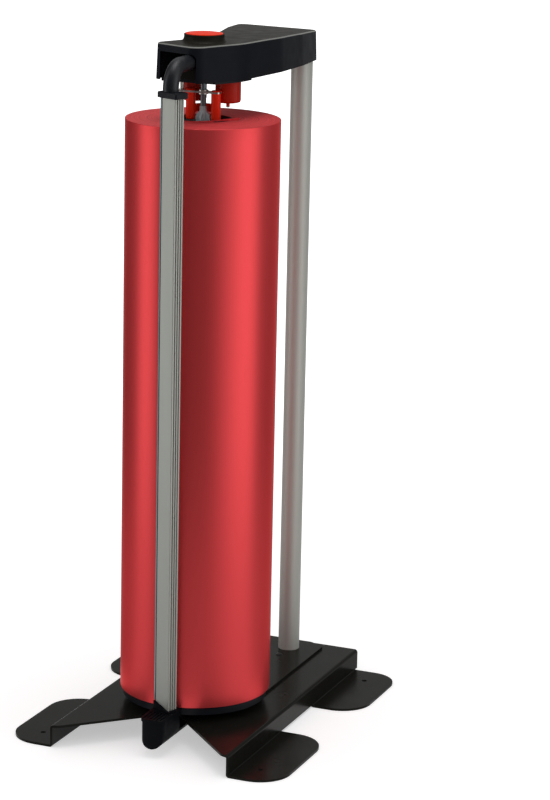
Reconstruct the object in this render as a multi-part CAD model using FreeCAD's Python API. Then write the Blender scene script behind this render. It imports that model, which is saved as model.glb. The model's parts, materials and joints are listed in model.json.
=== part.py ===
import FreeCAD, Part
import math
import os
from FreeCAD import Vector

# Upright dispenser and cutter for gift wrap: a bent steel base, a column with a moulded head, a roll on a
# turntable, and a spring-drawn cutting rail that rests along the front of the roll.
# Working frame: X to the right, Y to the back, Z up, on the roll's axis at the level of the counter.
# The parts are saved with the origin moved to the middle of the four fixing holes.

# ---------------------------------------------------------------- driving sizes, in mm
# clearances
FLAT_GAP = 0.3
SHAFT_GAP = 0.06
FIT_GAP = 0.2
EDGE_BREAK = 0.8

# roll and its core
ROLL_LENGTH = 700.0
ROLL_R = 91.8
PAPER_BORE_R = 34.5
CORE_WALL = 4.0

# base: one bent sheet
SHEET = 3.0
DECK_TOP = 28.0
DECK_HALF_WIDTH = 116.5
DECK_FRONT = -163.0
DECK_BACK = 258.0
BEND_R = 4.0
FOOT_REACH = 179.0
FRONT_FOOT_LENGTH = 163.0
REAR_FOOT_LENGTH = 148.0
REAR_FOOT_SETBACK = 8.0
FRONT_FOOT_R = 40.0
REAR_FOOT_R = 34.0
FOOT_HEEL_R = 40.0
NOTCH_APEX = -55.0
NOTCH_SHOULDER_R = 18.0
FIXING_HOLE_R = 3.25
FIXING_HALF_SPAN_X = 143.0
FIXING_FRONT = -129.0
FIXING_BACK = 215.0

# stiffening plate and its screws
STIFFENER = 3.0
STIFFENER_HALF_WIDTH = 74.0
STIFFENER_FRONT = -24.0
STIFFENER_SETBACK = 6.0
STIFFENER_CORNER_R = 20.0
STIFFENER_CLIP_X = 20.0
STIFFENER_CLIP_Y = 10.0
PLATE_SCREW_R = 2.5
PLATE_SCREW_HEAD_R = 4.5
PLATE_SCREW_HEAD = 1.8
PLATE_SCREW_INSET = 18.0
PLATE_SCREW_FRONT_Y = 8.0
PLATE_SCREW_AHEAD = 33.0

# column
COLUMN_X = 35.0
COLUMN_Y = 220.0
COLUMN_R = 13.5
COLUMN_WALL = 2.0
COLUMN_IN_HEAD = 26.0
COLUMN_BOLT_R = 4.0
COLUMN_PLUG = 25.0
COLUMN_THREAD = 18.0
BOLT_WASHER_R = 8.8
BOLT_WASHER = 1.6
BOLT_FLATS = 13.0
BOLT_HEAD = 5.3

# turntable
TURNTABLE_LIFT = 16.4
AXLE_R = 6.0
AXLE_RIVET_R = 9.0
TURNTABLE_R = 88.0
TURNTABLE_DISC = 4.0
TURNTABLE_SKIRT = 10.0
TURNTABLE_WALL = 3.0
TURNTABLE_RIBS = 8
HUB_R = 16.0
SPIGOT_HEIGHT = 4.0
THRUST_WASHER = 2.0

# plug in the top of the core, and the centring tip that stands in it
PLUG_SUNK = 3.9
PLUG_FLANGE = 2.5
PLUG_DEPTH = 40.0
PLUG_WALL = 3.0
PLUG_BOSS_R = 15.0
PLUG_BOSS = 20.0
PLUG_WEB = 2.0
PLUG_WEBS = 4
STAR_R = 9.5
STAR_TIP_R = 5.7
STAR_FIN = 3.0
STAR_DEPTH = 2.0
STAR_RISE = 3.5
STAR_HEIGHT = 15.0
STAR_FLARE = 4.5
STAR_LEAN = 1.2
STAR_COLLAR = 0.6

# spindle and finger grip
ROD_R = 3.5
ROD_IN_SEAT = 1.9
LIFT_TRAVEL = 10.5
CLIP = 1.2
CLIP_R = 6.0
CLIP_SLOT = 2.0
PEG_R = 5.8
PEG_X = 16.2
PEG_RISE = 1.5
PEG_LENGTH = 32.5
PEG_ROUND = 2.6
PEG_STUD_R = 2.9
PEG_CAP = 1.6
PEG_CAP_EDGE = 1.0
BRIDGE_RISE = 9.0
BRIDGE_HEIGHT = 9.5
BRIDGE_WALL = 3.0
STRIP = 2.0
STRIP_HALF_WIDTH = 6.0
STRIP_LEFT = -34.0
STRIP_CORNER_R = 3.0
GUIDE_PIN_X = -27.5
GUIDE_PIN_R = 2.5
GUIDE_PIN_DROP = 13.5
GUIDE_PIN_BOSS_R = 5.5

# spring cups under the head
CUP_X = 22.0
CUP_Y = 22.0
CUP_R = 15.2
CUP_WALL = 2.0
CUP_HEIGHT = 27.0
CUP_ROUND = 3.0
SPRING_PIN_R = 2.2
SPRING_PIN_TIP = 6.0
SPRING_PIN_HEAD = 2.4
SPRING_FLANGE_R = 8.5
LIFT_SPRING_R = 7.0
LIFT_SPRING_TURNS = 5
SPRING_WIRE_R = 0.7
COIL_SIDES = 10

# crosshead inside the head
CROSSHEAD = 4.0
CROSSHEAD_HUB_R = 7.0
CROSSHEAD_ARM = 7.0
CROSSHEAD_EYE_R = 4.0

# head
HEAD_CLEARANCE = 47.6
HEAD_HEIGHT = 42.8
CROWN_CREST_Y = 5.0
CROWN_R = 3900.0
SHELL_WALL = 2.6
SHELL_DRAFT = 1.6
BEVEL = 2.4
HEAD_CORNER_WALL = 2.9
RECESS_LEFT = -38.0
RECESS_RIGHT = 14.8
RECESS_HEIGHT = 33.0
RECESS_BACK = -30.0
RECESS_R = 7.0
RECESS_LEFT_R = 1.0
CHASSIS = 3.0
CHASSIS_PAD = 3.0
CHASSIS_PAD_BACK = 30.0
PAD_EAR = 1.8
COLLAR_DEPTH = 4.0
SCREW_R = 1.8
SCREW_HEAD_R = 3.4
SCREW_HEAD = 1.8
SCREW_BITE = 7.2
PILLAR_R = 4.3
PILLAR_BORE = 9.0
CLAMP_HEIGHT = 18.0
CLAMP_WALL = 10.0
CLAMP_SCREW_R = 2.0
CLAMP_HEAD_R = 4.0
CLAMP_HEAD = 3.0

# button, its ring and its seat
BUTTON_R = 22.2
BUTTON_WALL = 2.0
BUTTON_RISE = 9.3
BUTTON_DOME = 1.8
BUTTON_SKIRT = 10.0
BUTTON_TRAVEL = 4.0
BUTTON_POST_R = 7.0
BUTTON_SPRING_TURNS = 5
BEZEL_WALL = 1.4
BEZEL_STEP = 0.6
BEZEL_FLARE = 3.4
BEZEL_SINK = 0.4
BEZEL_SWEEP = 0.28
SEAT_DEPTH = 9.6

# latch
LATCH = 2.0
LATCH_DROP = 3.2
LATCH_HALF_WIDTH = 4.5
LATCH_LENGTH = 17.0
LATCH_RATIO = 0.5
LATCH_RAIL = 1.6
LATCH_RAIL_START = 6.7
LEG_SIZE = 5.0
LEG_X = -14.0

# rail and blade
RAIL_X = 8.7
RAIL_Y = -103.6
RAIL_TURN = -23.0
RAIL_WIDTH = 22.0
RAIL_DEPTH = 14.0
RAIL_WALL = 1.8
RAIL_BELOW_HEAD = 11.0
RAIL_GROOVES = 3
RAIL_GROOVE = 1.6
BLADE = 0.8
BLADE_SEAT = 2.4
BLADE_REACH = 5.0
BLADE_GROUND = 2.2
BLADE_ROOT = 1.2
CAP_HEIGHT = 7.0
CAP_LEFT = 6.5
CAP_RIGHT = 4.0
CAP_LIP = 2.6
CAP_CORNER_R = 2.0
CAP_TONGUE = 14.0

# elbow and slide bar
ELBOW_X = 4.2
ELBOW_Y = -101.1
ELBOW_R = 9.2
ELBOW_BEND_R = 25.0
ELBOW_STUB = 29.8
ELBOW_GAP = 0.4
BAR = 2.5
BAR_X = 3.0
BAR_TAB_RISE = 3.6
BAR_BACK = 74.0
BAR_CORNER_R = 4.0
BAR_SLOT_HALF = 4.8
BAR_SLOT_R = 4.0
BAR_SLOT_BACK = 36.0
KEEPER_WALL = 2.5
KEEPER_LENGTH = 8.0
KEEPER_BACK_Y = 30.0

# lower arm
ARM_X = 7.5
ARM_WIDTH = 31.0
ARM_RISE = 17.0
ARM_BOTTOM = 11.0
ARM_FRONT = -146.0
ARM_BOW = 3.0
ARM_BOW_R = 40.0
ARM_CORNER_R = 8.0
ARM_LIP = 4.0
ARM_LIP_STEP = 1.0
ARM_RIBS = 6
ARM_GROOVE = 1.8
ARM_GROOVE_DEPTH = 1.2
ARM_RIB_FRONT = 5.0
TONGUE_DROP = 3.5
TONGUE = 5.0
TONGUE_WIDTH = 20.0
TONGUE_BACK = 62.0
TONGUE_ROOT = 8.0
COLLAR_HEIGHT = 10.0
COLLAR_LOW = 1.5
COLLAR_WALL = 2.6
COLLAR_CORNER_R = 2.0
GUIDE_FRONT_Y = -30.0
GUIDE_BACK_Y = 16.0

# springs that draw the carriage back
PULL_SPRING_R = 4.0
PULL_SPRING_LENGTH = 62.0
PULL_LOOP_R = 3.0
POST_INSET = 6.0

# ---------------------------------------------------------------- sizes worked out from the driving sizes
HOLE_CENTRE_Y = (FIXING_FRONT + FIXING_BACK) / 2.0
DECK_UNDER = DECK_TOP - SHEET
PLATE_TOP = DECK_TOP + STIFFENER
PLATE_BACK = DECK_BACK - STIFFENER_SETBACK
ROLL_BOTTOM = PLATE_TOP + TURNTABLE_LIFT
ROLL_TOP = ROLL_BOTTOM + ROLL_LENGTH
CORE_BORE_R = PAPER_BORE_R - CORE_WALL

PLUG_TOP = ROLL_TOP - PLUG_SUNK
STAR_TIP = PLUG_TOP - STAR_DEPTH
STAR_SHOULDER = PLUG_TOP + STAR_RISE
STAR_TOP = STAR_SHOULDER + STAR_HEIGHT
PEG_BOTTOM = PLUG_TOP + PEG_RISE
BRIDGE_BOTTOM = PEG_BOTTOM + BRIDGE_RISE
STRIP_BOTTOM = PEG_BOTTOM + PEG_LENGTH
STRIP_TOP = STRIP_BOTTOM + STRIP
GUIDE_PIN_BOTTOM = STRIP_BOTTOM - GUIDE_PIN_DROP

SKIRT_BOTTOM = ROLL_TOP + HEAD_CLEARANCE
PAD_BOTTOM = SKIRT_BOTTOM - CHASSIS_PAD
CHASSIS_TOP = SKIRT_BOTTOM + CHASSIS
CROWN_TOP = SKIRT_BOTTOM + HEAD_HEIGHT
ROOF_UNDER = CROWN_TOP - SHELL_WALL
RECESS_TOP = SKIRT_BOTTOM + RECESS_HEIGHT
COLUMN_TOP = CHASSIS_TOP + COLUMN_IN_HEAD
HEAD_CORNER_R = COLUMN_R + HEAD_CORNER_WALL
BUTTON_RIM = CROWN_TOP + BUTTON_RISE
BEZEL_TOP = BUTTON_RIM - BEZEL_STEP
BEZEL_BORE_R = BUTTON_R + FLAT_GAP
BEZEL_R = BEZEL_BORE_R + BEZEL_WALL
SEAT_TOP = ROOF_UNDER - FIT_GAP
SEAT_FLOOR = ROOF_UNDER - SEAT_DEPTH
ROD_TOP = SEAT_FLOOR + ROD_IN_SEAT
LATCH_BOTTOM = SEAT_FLOOR - LATCH_DROP
LEG_SLOPE_START = LATCH_BOTTOM + LATCH + BUTTON_TRAVEL + FIT_GAP

CUP_BOTTOM = PAD_BOTTOM - CUP_HEIGHT
SPRING_SEAT = CUP_BOTTOM + CUP_WALL + FLAT_GAP * 2.0
BAR_BOTTOM = CHASSIS_TOP + FLAT_GAP
BAR_TOP = BAR_BOTTOM + BAR
BAR_HALF_WIDTH = RECESS_RIGHT - BAR_X - FLAT_GAP * 2.0
HUB_CLIP_BOTTOM = BAR_TOP + KEEPER_WALL + FLAT_GAP * 2.0
CROSSHEAD_BOTTOM = HUB_CLIP_BOTTOM + CLIP + FIT_GAP
CROSSHEAD_TOP = CROSSHEAD_BOTTOM + CROSSHEAD

ARM_TOP = PLATE_TOP + ARM_RISE
TONGUE_TOP = DECK_UNDER - TONGUE_DROP
TONGUE_BOTTOM = TONGUE_TOP - TONGUE
RAIL_TOP = SKIRT_BOTTOM - RAIL_BELOW_HEAD
ELBOW_AXIS_TOP = RECESS_TOP - ELBOW_R - ELBOW_GAP
ELBOW_STUB_END = ELBOW_Y + ELBOW_BEND_R + ELBOW_STUB

POST_R = PULL_LOOP_R - SPRING_WIRE_R - FLAT_GAP
COIL_PITCH = SPRING_WIRE_R * 4.0
PULL_TURNS = int(PULL_SPRING_LENGTH / COIL_PITCH)
PULL_REACH = PULL_LOOP_R * 2.0 + COIL_PITCH * PULL_TURNS
UPPER_SPRING_Z = BAR_TOP + PULL_SPRING_R + FLAT_GAP * 2.0
LOWER_SPRING_Z = TONGUE_BOTTOM - PULL_SPRING_R - FLAT_GAP

# plan of the head: (x, y, radius) corners, anticlockwise from the nose; the back one is round the column
HEAD_PLAN = [
    (16.5, -60.0, 16.0), (31.5, -29.0, 60.0), (48.5, 5.0, 90.0), (58.0, 96.0, 110.0), (56.5, 166.0, 120.0),
    (COLUMN_X + HEAD_CORNER_R * 0.9, COLUMN_Y + HEAD_CORNER_R * 0.845, HEAD_CORNER_R),
    (-66.0, 258.0, 10.0), (-49.0, 180.0, 60.0), (-28.5, 108.0, 70.0), (-28.5, 2.0, 40.0), (-46.5, -36.0, 7.0),
]
CHASSIS_SCREWS = [(47.0, 92.0), (-18.0, 92.0), (45.0, 160.0), (-46.0, 218.0)]

X_AXIS = Vector(1, 0, 0)
Y_AXIS = Vector(0, 1, 0)
Z_AXIS = Vector(0, 0, 1)
PAST = 1.0


# ---------------------------------------------------------------- drawing helpers
def rounded_wire(corners):
    """Closed XY wire through (x, y, radius) corners, each rounded by a tangent arc of its radius."""
    runs = []
    count = len(corners)
    for i in range(count):
        before = Vector(*corners[i - 1][:2], 0)
        here = Vector(*corners[i][:2], 0)
        after = Vector(*corners[(i + 1) % count][:2], 0)
        radius = corners[i][2]
        if radius <= 0:
            runs.append((here, here, here))
            continue
        to_before = (before - here).normalize()
        to_after = (after - here).normalize()
        half = to_before.getAngle(to_after) / 2.0
        back_off = radius / math.tan(half)
        middle = (to_before + to_after).normalize()
        bulge = here + middle * (radius / math.sin(half) - radius)
        runs.append((here + to_before * back_off, bulge, here + to_after * back_off))
    edges = []
    for i in range(count):
        start, bulge, end = runs[i]
        following = runs[(i + 1) % count][0]
        if start.distanceToPoint(end) > 1e-6:
            edges.append(Part.Arc(start, bulge, end).toShape())
        if end.distanceToPoint(following) > 1e-6:
            edges.append(Part.makeLine(end, following))
    return Part.Wire(edges)


def box_plan(x0, x1, y0, y1, radius):
    """Rectangle in plan with four equal rounded corners."""
    return rounded_wire([(x0, y0, radius), (x1, y0, radius), (x1, y1, radius), (x0, y1, radius)])


def prism(wire, bottom, top):
    """Upright prism of a closed XY wire between two heights."""
    face = Part.Face(wire)
    face.translate(Vector(0, 0, bottom))
    return face.extrude(Vector(0, 0, top - bottom))


def block(x0, x1, y0, y1, z0, z1):
    """Box between two opposite corners."""
    return Part.makeBox(x1 - x0, y1 - y0, z1 - z0, Vector(x0, y0, z0))


def disc(x, y, radius, bottom, top):
    """Upright cylinder about (x, y) between two heights."""
    return Part.makeCylinder(radius, top - bottom, Vector(x, y, bottom), Z_AXIS)


def drill(x, y, radius, bottom, top):
    """Cutter for a hole that goes right through between two heights."""
    return disc(x, y, radius, bottom - PAST, top + PAST)


def ring(x, y, bore, radius, bottom, top):
    """Upright tube about (x, y)."""
    return disc(x, y, radius, bottom, top).cut(drill(x, y, bore, bottom, top))


def along_y(wire, y0, y1):
    """Prism of a section drawn in XY, stood up so that its Y is height, and run from y0 to y1."""
    face = Part.Face(wire)
    face.rotate(Vector(0, 0, 0), X_AXIS, 90)
    face.translate(Vector(0, y0, 0))
    return face.extrude(Vector(0, y1 - y0, 0))


def across(outline, half_width):
    """Prism of an (x, z) outline, centred on y = 0."""
    points = [Vector(x, -half_width, z) for x, z in outline]
    return Part.Face(Part.makePolygon(points + points[:1])).extrude(Vector(0, 2.0 * half_width, 0))


def turned(shape, x, y, degrees):
    """Copy of a shape turned about an upright line."""
    copy = shape.copy()
    copy.rotate(Vector(x, y, 0), Z_AXIS, degrees)
    return copy


def joined(shapes):
    """One solid from touching shapes, with split faces merged."""
    body = shapes[0].fuse(shapes[1:])
    return body.removeSplitter()


def revolved(profile, x=0.0, y=0.0):
    """Solid of revolution about an upright line, from (radius, height) points."""
    points = [Vector(r, 0, z) for r, z in profile]
    face = Part.Face(Part.makePolygon(points + points[:1]))
    solid = face.revolve(Vector(0, 0, 0), Z_AXIS, 360)
    solid.translate(Vector(x, y, 0))
    return solid


def coil(radius, bottom, top, turns, x=0.0, y=0.0):
    """Upright compression spring between two seats: round wire along a helix of short straight runs."""
    low = bottom + SPRING_WIRE_R
    rise = top - SPRING_WIRE_R - low
    count = turns * COIL_SIDES
    points = []
    for i in range(count + 1):
        angle = 2.0 * math.pi * i / COIL_SIDES
        height = low + rise * i / count
        points.append(Vector(x + radius * math.cos(angle), y + radius * math.sin(angle), height))
    along = (points[1] - points[0]).normalize()
    sweep = Part.BRepOffsetAPI.MakePipeShell(Part.makePolygon(points))
    sweep.setTransitionMode(1)
    sweep.add(Part.Wire(Part.makeCircle(SPRING_WIRE_R, points[0], along)))
    sweep.build()
    sweep.makeSolid()
    return sweep.shape()


def save(name, *solids):
    """Write one part, or a group of like parts, about the middle of the fixing holes."""
    shape = solids[0] if len(solids) == 1 else Part.makeCompound(list(solids))
    shape = shape.copy()
    shape.translate(Vector(0, -HOLE_CENTRE_Y, 0))
    shape.exportStep("parts/" + name + ".step")


# ---------------------------------------------------------------- base
def base_sections():
    """Sheet sections across the base: with outward feet at the ends, webs alone between them."""
    inner = DECK_HALF_WIDTH - SHEET
    outer = DECK_HALF_WIDTH
    inside = BEND_R - SHEET
    footed = [
        (FOOT_REACH, 0, 0), (FOOT_REACH, SHEET, 0), (outer, SHEET, inside), (outer, DECK_TOP, BEND_R),
        (-outer, DECK_TOP, BEND_R), (-outer, SHEET, inside), (-FOOT_REACH, SHEET, 0), (-FOOT_REACH, 0, 0),
        (-inner, 0, BEND_R), (-inner, DECK_UNDER, inside), (inner, DECK_UNDER, inside), (inner, 0, BEND_R),
    ]
    webbed = [
        (outer, SHEET, 0), (outer, DECK_TOP, BEND_R), (-outer, DECK_TOP, BEND_R), (-outer, SHEET, 0),
        (-inner, SHEET, 0), (-inner, DECK_UNDER, inside), (inner, DECK_UNDER, inside), (inner, SHEET, 0),
    ]
    return rounded_wire(footed), rounded_wire(webbed)


def foot_plan(front, back, front_r, back_r):
    """Plan of a pair of feet with rounded outer corners."""
    corners = [
        (-FOOT_REACH, front, front_r), (FOOT_REACH, front, front_r),
        (FOOT_REACH, back, back_r), (-FOOT_REACH, back, back_r),
    ]
    return prism(rounded_wire(corners), -PAST, DECK_TOP + PAST)


def notch():
    """Right-angled notch in the front of the deck, with rounded shoulders, for the lower arm."""
    mouth = NOTCH_APEX - DECK_FRONT
    far = DECK_FRONT - NOTCH_SHOULDER_R
    wide = mouth + NOTCH_SHOULDER_R
    corners = [
        (0, NOTCH_APEX, SHEET), (-mouth, DECK_FRONT, NOTCH_SHOULDER_R), (-wide, DECK_FRONT, 0),
        (-wide, far, 0), (wide, far, 0), (wide, DECK_FRONT, 0), (mouth, DECK_FRONT, NOTCH_SHOULDER_R),
    ]
    return prism(rounded_wire(corners), SHEET + PAST, DECK_TOP + PAST)


def base_plate():
    """Bent sheet: deck, two webs and four feet."""
    footed, webbed = base_sections()
    front_end = DECK_FRONT + FRONT_FOOT_LENGTH
    rear_end = DECK_BACK - REAR_FOOT_SETBACK
    rear_start = rear_end - REAR_FOOT_LENGTH
    front = along_y(footed, DECK_FRONT, front_end)
    front = front.common(foot_plan(DECK_FRONT, front_end, FRONT_FOOT_R, FOOT_HEEL_R))
    rear = along_y(footed, rear_start, rear_end)
    rear = rear.common(foot_plan(rear_start, rear_end, FOOT_HEEL_R, REAR_FOOT_R))
    spine = along_y(webbed, DECK_FRONT, DECK_BACK)
    plate = joined([spine, front, rear]).cut(notch())
    holes = []
    for x in (-FIXING_HALF_SPAN_X, FIXING_HALF_SPAN_X):
        for y in (FIXING_FRONT, FIXING_BACK):
            holes.append(drill(x, y, FIXING_HOLE_R, 0, SHEET))
    holes.append(drill(0, 0, AXLE_R, DECK_UNDER, DECK_TOP))
    holes.append(drill(COLUMN_X, COLUMN_Y, COLUMN_BOLT_R + FIT_GAP, DECK_UNDER, DECK_TOP))
    for x, y in plate_screw_places():
        holes.append(drill(x, y, PLATE_SCREW_R, DECK_UNDER, DECK_TOP))
    for hole in holes:
        plate = plate.cut(hole)
    return plate


def plate_screw_places():
    """Two screws under the roll and two in front of the column hold the stiffening plate to the deck."""
    side = STIFFENER_HALF_WIDTH - PLATE_SCREW_INSET
    back = COLUMN_Y - PLATE_SCREW_AHEAD
    return [(-side, PLATE_SCREW_FRONT_Y), (side, PLATE_SCREW_FRONT_Y), (-COLUMN_X, back), (COLUMN_X, back)]


def column_plate():
    """Thick plate that carries the column and the turntable, with clipped back corners."""
    side = STIFFENER_HALF_WIDTH
    clip_x = side - STIFFENER_CLIP_X
    clip_y = PLATE_BACK - STIFFENER_CLIP_Y
    corners = [
        (-side, STIFFENER_FRONT, STIFFENER_CORNER_R), (side, STIFFENER_FRONT, STIFFENER_CORNER_R),
        (side, clip_y, BEND_R), (clip_x, PLATE_BACK, BEND_R), (-clip_x, PLATE_BACK, BEND_R),
        (-side, clip_y, BEND_R),
    ]
    plate = prism(rounded_wire(corners), DECK_TOP, PLATE_TOP)
    plate = plate.cut(drill(0, 0, AXLE_R, DECK_TOP, PLATE_TOP))
    plate = plate.cut(drill(COLUMN_X, COLUMN_Y, COLUMN_BOLT_R + FIT_GAP, DECK_TOP, PLATE_TOP))
    for x, y in plate_screw_places():
        plate = plate.cut(drill(x, y, PLATE_SCREW_R, DECK_TOP, PLATE_TOP))
    return plate


def plate_screws():
    """Low round heads on top of the stiffener, shanks through both plates."""
    screws = []
    shoulder = PLATE_TOP + PLATE_SCREW_HEAD - EDGE_BREAK
    for x, y in plate_screw_places():
        dome = revolved([
            (0, PLATE_TOP), (PLATE_SCREW_HEAD_R, PLATE_TOP), (PLATE_SCREW_HEAD_R - EDGE_BREAK, shoulder),
            (0, PLATE_TOP + PLATE_SCREW_HEAD),
        ], x, y)
        screws.append(joined([dome, disc(x, y, PLATE_SCREW_R, DECK_UNDER - SHEET, PLATE_TOP)]))
    return screws


# ---------------------------------------------------------------- column
def column_tube():
    """Round tube from the stiffening plate up into the head."""
    return ring(COLUMN_X, COLUMN_Y, COLUMN_R - COLUMN_WALL, COLUMN_R, PLATE_TOP, COLUMN_TOP)


def column_anchor():
    """Turned plug pressed into the foot of the column, tapped for the bolt."""
    body = disc(COLUMN_X, COLUMN_Y, COLUMN_R - COLUMN_WALL, PLATE_TOP, PLATE_TOP + COLUMN_PLUG)
    return body.cut(disc(COLUMN_X, COLUMN_Y, COLUMN_BOLT_R, PLATE_TOP - PAST, PLATE_TOP + COLUMN_THREAD))


def hexagon(x, y, across_flats, bottom, top):
    """Upright hexagonal prism."""
    radius = across_flats / math.sqrt(3.0)
    points = []
    for i in range(7):
        angle = math.radians(60 * i)
        points.append(Vector(x + radius * math.cos(angle), y + radius * math.sin(angle), 0))
    return prism(Part.makePolygon(points), bottom, top)


def column_bolt():
    """Hexagon bolt and washer from under the deck into the column's plug."""
    seat = DECK_UNDER - BOLT_WASHER
    return joined([
        disc(COLUMN_X, COLUMN_Y, BOLT_WASHER_R, seat, DECK_UNDER),
        hexagon(COLUMN_X, COLUMN_Y, BOLT_FLATS, seat - BOLT_HEAD, seat),
        disc(COLUMN_X, COLUMN_Y, COLUMN_BOLT_R, seat, PLATE_TOP + COLUMN_THREAD - PAST),
    ])


# ---------------------------------------------------------------- turntable and roll
def turntable_axle():
    """Fixed stud on the roll's axis, shouldered under the deck by its rivet head."""
    top = ROLL_BOTTOM + SPIGOT_HEIGHT - TURNTABLE_WALL
    rivet = disc(0, 0, AXLE_RIVET_R, DECK_UNDER - SHEET, DECK_UNDER)
    return joined([disc(0, 0, AXLE_R, DECK_UNDER, top), rivet])


def thrust_washer():
    """Washer between the stiffening plate and the turntable's hub."""
    return ring(0, 0, AXLE_R + SHAFT_GAP, HUB_R, PLATE_TOP, PLATE_TOP + THRUST_WASHER)


def turntable():
    """Moulded dish: flat disc, turned-down skirt, hub on the stud, radial ribs, and a spigot for the core."""
    disc_under = ROLL_BOTTOM - TURNTABLE_DISC
    skirt_low = ROLL_BOTTOM - TURNTABLE_SKIRT
    hub_low = PLATE_TOP + THRUST_WASHER
    spigot_r = CORE_BORE_R - FLAT_GAP
    spigot_top = ROLL_BOTTOM + SPIGOT_HEIGHT
    pieces = [
        disc(0, 0, TURNTABLE_R, disc_under, ROLL_BOTTOM),
        ring(0, 0, TURNTABLE_R - TURNTABLE_WALL, TURNTABLE_R, skirt_low, ROLL_BOTTOM),
        disc(0, 0, HUB_R, hub_low, ROLL_BOTTOM),
        revolved([
            (0, ROLL_BOTTOM), (spigot_r, ROLL_BOTTOM), (spigot_r, spigot_top - EDGE_BREAK),
            (spigot_r - EDGE_BREAK, spigot_top), (0, spigot_top),
        ]),
    ]
    half = TURNTABLE_WALL / 2.0
    rib = block(HUB_R - PAST, TURNTABLE_R - PAST, -half, half, skirt_low + PAST, disc_under + PAST)
    for i in range(TURNTABLE_RIBS):
        pieces.append(turned(rib, 0, 0, 360.0 * i / TURNTABLE_RIBS))
    bore_top = spigot_top - TURNTABLE_WALL + FLAT_GAP
    return joined(pieces).cut(disc(0, 0, AXLE_R + SHAFT_GAP, hub_low - PAST, bore_top))


def paper_roll():
    """Full roll of wound paper."""
    return ring(0, 0, PAPER_BORE_R, ROLL_R, ROLL_BOTTOM, ROLL_TOP)


def roll_core():
    """Board tube that the paper is wound on; the plug's flange covers its upper end."""
    return ring(0, 0, CORE_BORE_R, PAPER_BORE_R, ROLL_BOTTOM, PLUG_TOP - PLUG_FLANGE)


def star_solid(grow, bottom, top):
    """Four-finned centring tip: two crossed blades that flare from the rod and taper to the point."""
    wide = STAR_R + grow
    neck = ROD_R + grow
    flare = STAR_SHOULDER + STAR_FLARE
    right = [
        (neck, top), (neck + STAR_COLLAR, flare + STAR_FLARE), (wide - STAR_LEAN, flare),
        (wide, STAR_SHOULDER), (wide - STAR_LEAN, PLUG_TOP), (STAR_TIP_R + grow, bottom),
    ]
    blade = across(right + [(-x, z) for x, z in reversed(right)], STAR_FIN / 2.0 + grow)
    hub = revolved([(0, bottom), (neck, bottom), (neck + STAR_LEAN, STAR_SHOULDER), (neck, top), (0, top)])
    return joined([blade, turned(blade, 0, 0, 90), hub])


def star_tip():
    """Centring tip, moulded on the lower end of the rod."""
    tip = star_solid(0.0, STAR_TIP, STAR_TOP)
    return tip.cut(disc(0, 0, ROD_R - PAST, STAR_SHOULDER, STAR_TOP + PAST))


def core_plug():
    """Moulded plug in the core's top: flange, sleeve, four webs and a boss with a cross-shaped socket."""
    under_flange = PLUG_TOP - PLUG_FLANGE
    boss_low = PLUG_TOP - PLUG_BOSS
    pieces = [
        disc(0, 0, PAPER_BORE_R - FIT_GAP, under_flange, PLUG_TOP),
        ring(0, 0, CORE_BORE_R - PLUG_WALL, CORE_BORE_R, PLUG_TOP - PLUG_DEPTH, under_flange),
        disc(0, 0, PLUG_BOSS_R, boss_low, PLUG_TOP),
    ]
    half = PLUG_WEB / 2.0
    web = block(PLUG_BOSS_R - PAST, CORE_BORE_R - PAST, -half, half, boss_low, PLUG_TOP - PAST)
    for i in range(PLUG_WEBS):
        pieces.append(turned(web, 0, 0, 360.0 * (i + 0.5) / PLUG_WEBS))
    return joined(pieces).cut(star_solid(FLAT_GAP, STAR_TIP - FLAT_GAP, STAR_TOP))


# ---------------------------------------------------------------- spindle and lifter
def spindle_rod():
    """Plain rod from the centring tip up into the hollow of the button, with a groove for the latch."""
    rod = joined([disc(0, 0, ROD_R, STAR_TOP, ROD_TOP), disc(0, 0, ROD_R - PAST, STAR_SHOULDER, STAR_TOP)])
    groove_low = LATCH_BOTTOM - LIFT_TRAVEL - FLAT_GAP
    groove_top = groove_low + LATCH + FLAT_GAP * 2.0
    return rod.cut(ring(0, 0, ROD_R - PAST, ROD_R + PAST, groove_low, groove_top))


def rod_clips():
    """Retaining rings on the rod: under and over the steel strip, and under and over the crosshead."""
    heights = [
        STRIP_BOTTOM - FIT_GAP - CLIP, STRIP_TOP + FIT_GAP, HUB_CLIP_BOTTOM, CROSSHEAD_TOP + FIT_GAP,
    ]
    half = CLIP_SLOT / 2.0
    clips = []
    for z in heights:
        mouth = block(half, CLIP_R + PAST, -half, half, z - PAST, z + CLIP + PAST)
        clips.append(ring(0, 0, ROD_R, CLIP_R, z, z + CLIP).cut(mouth))
    return clips


def cross_strip():
    """Steel strip that the finger grip hangs from; the pin at its left end keeps it from turning."""
    plan = box_plan(STRIP_LEFT, PEG_X + PEG_R, -STRIP_HALF_WIDTH, STRIP_HALF_WIDTH, STRIP_CORNER_R)
    strip = prism(plan, STRIP_BOTTOM, STRIP_TOP)
    holes = [
        (0, ROD_R + SHAFT_GAP), (GUIDE_PIN_X, GUIDE_PIN_R + SHAFT_GAP),
        (-PEG_X, PEG_STUD_R), (PEG_X, PEG_STUD_R),
    ]
    for x, radius in holes:
        strip = strip.cut(drill(x, 0, radius, STRIP_BOTTOM, STRIP_TOP))
    return strip


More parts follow.
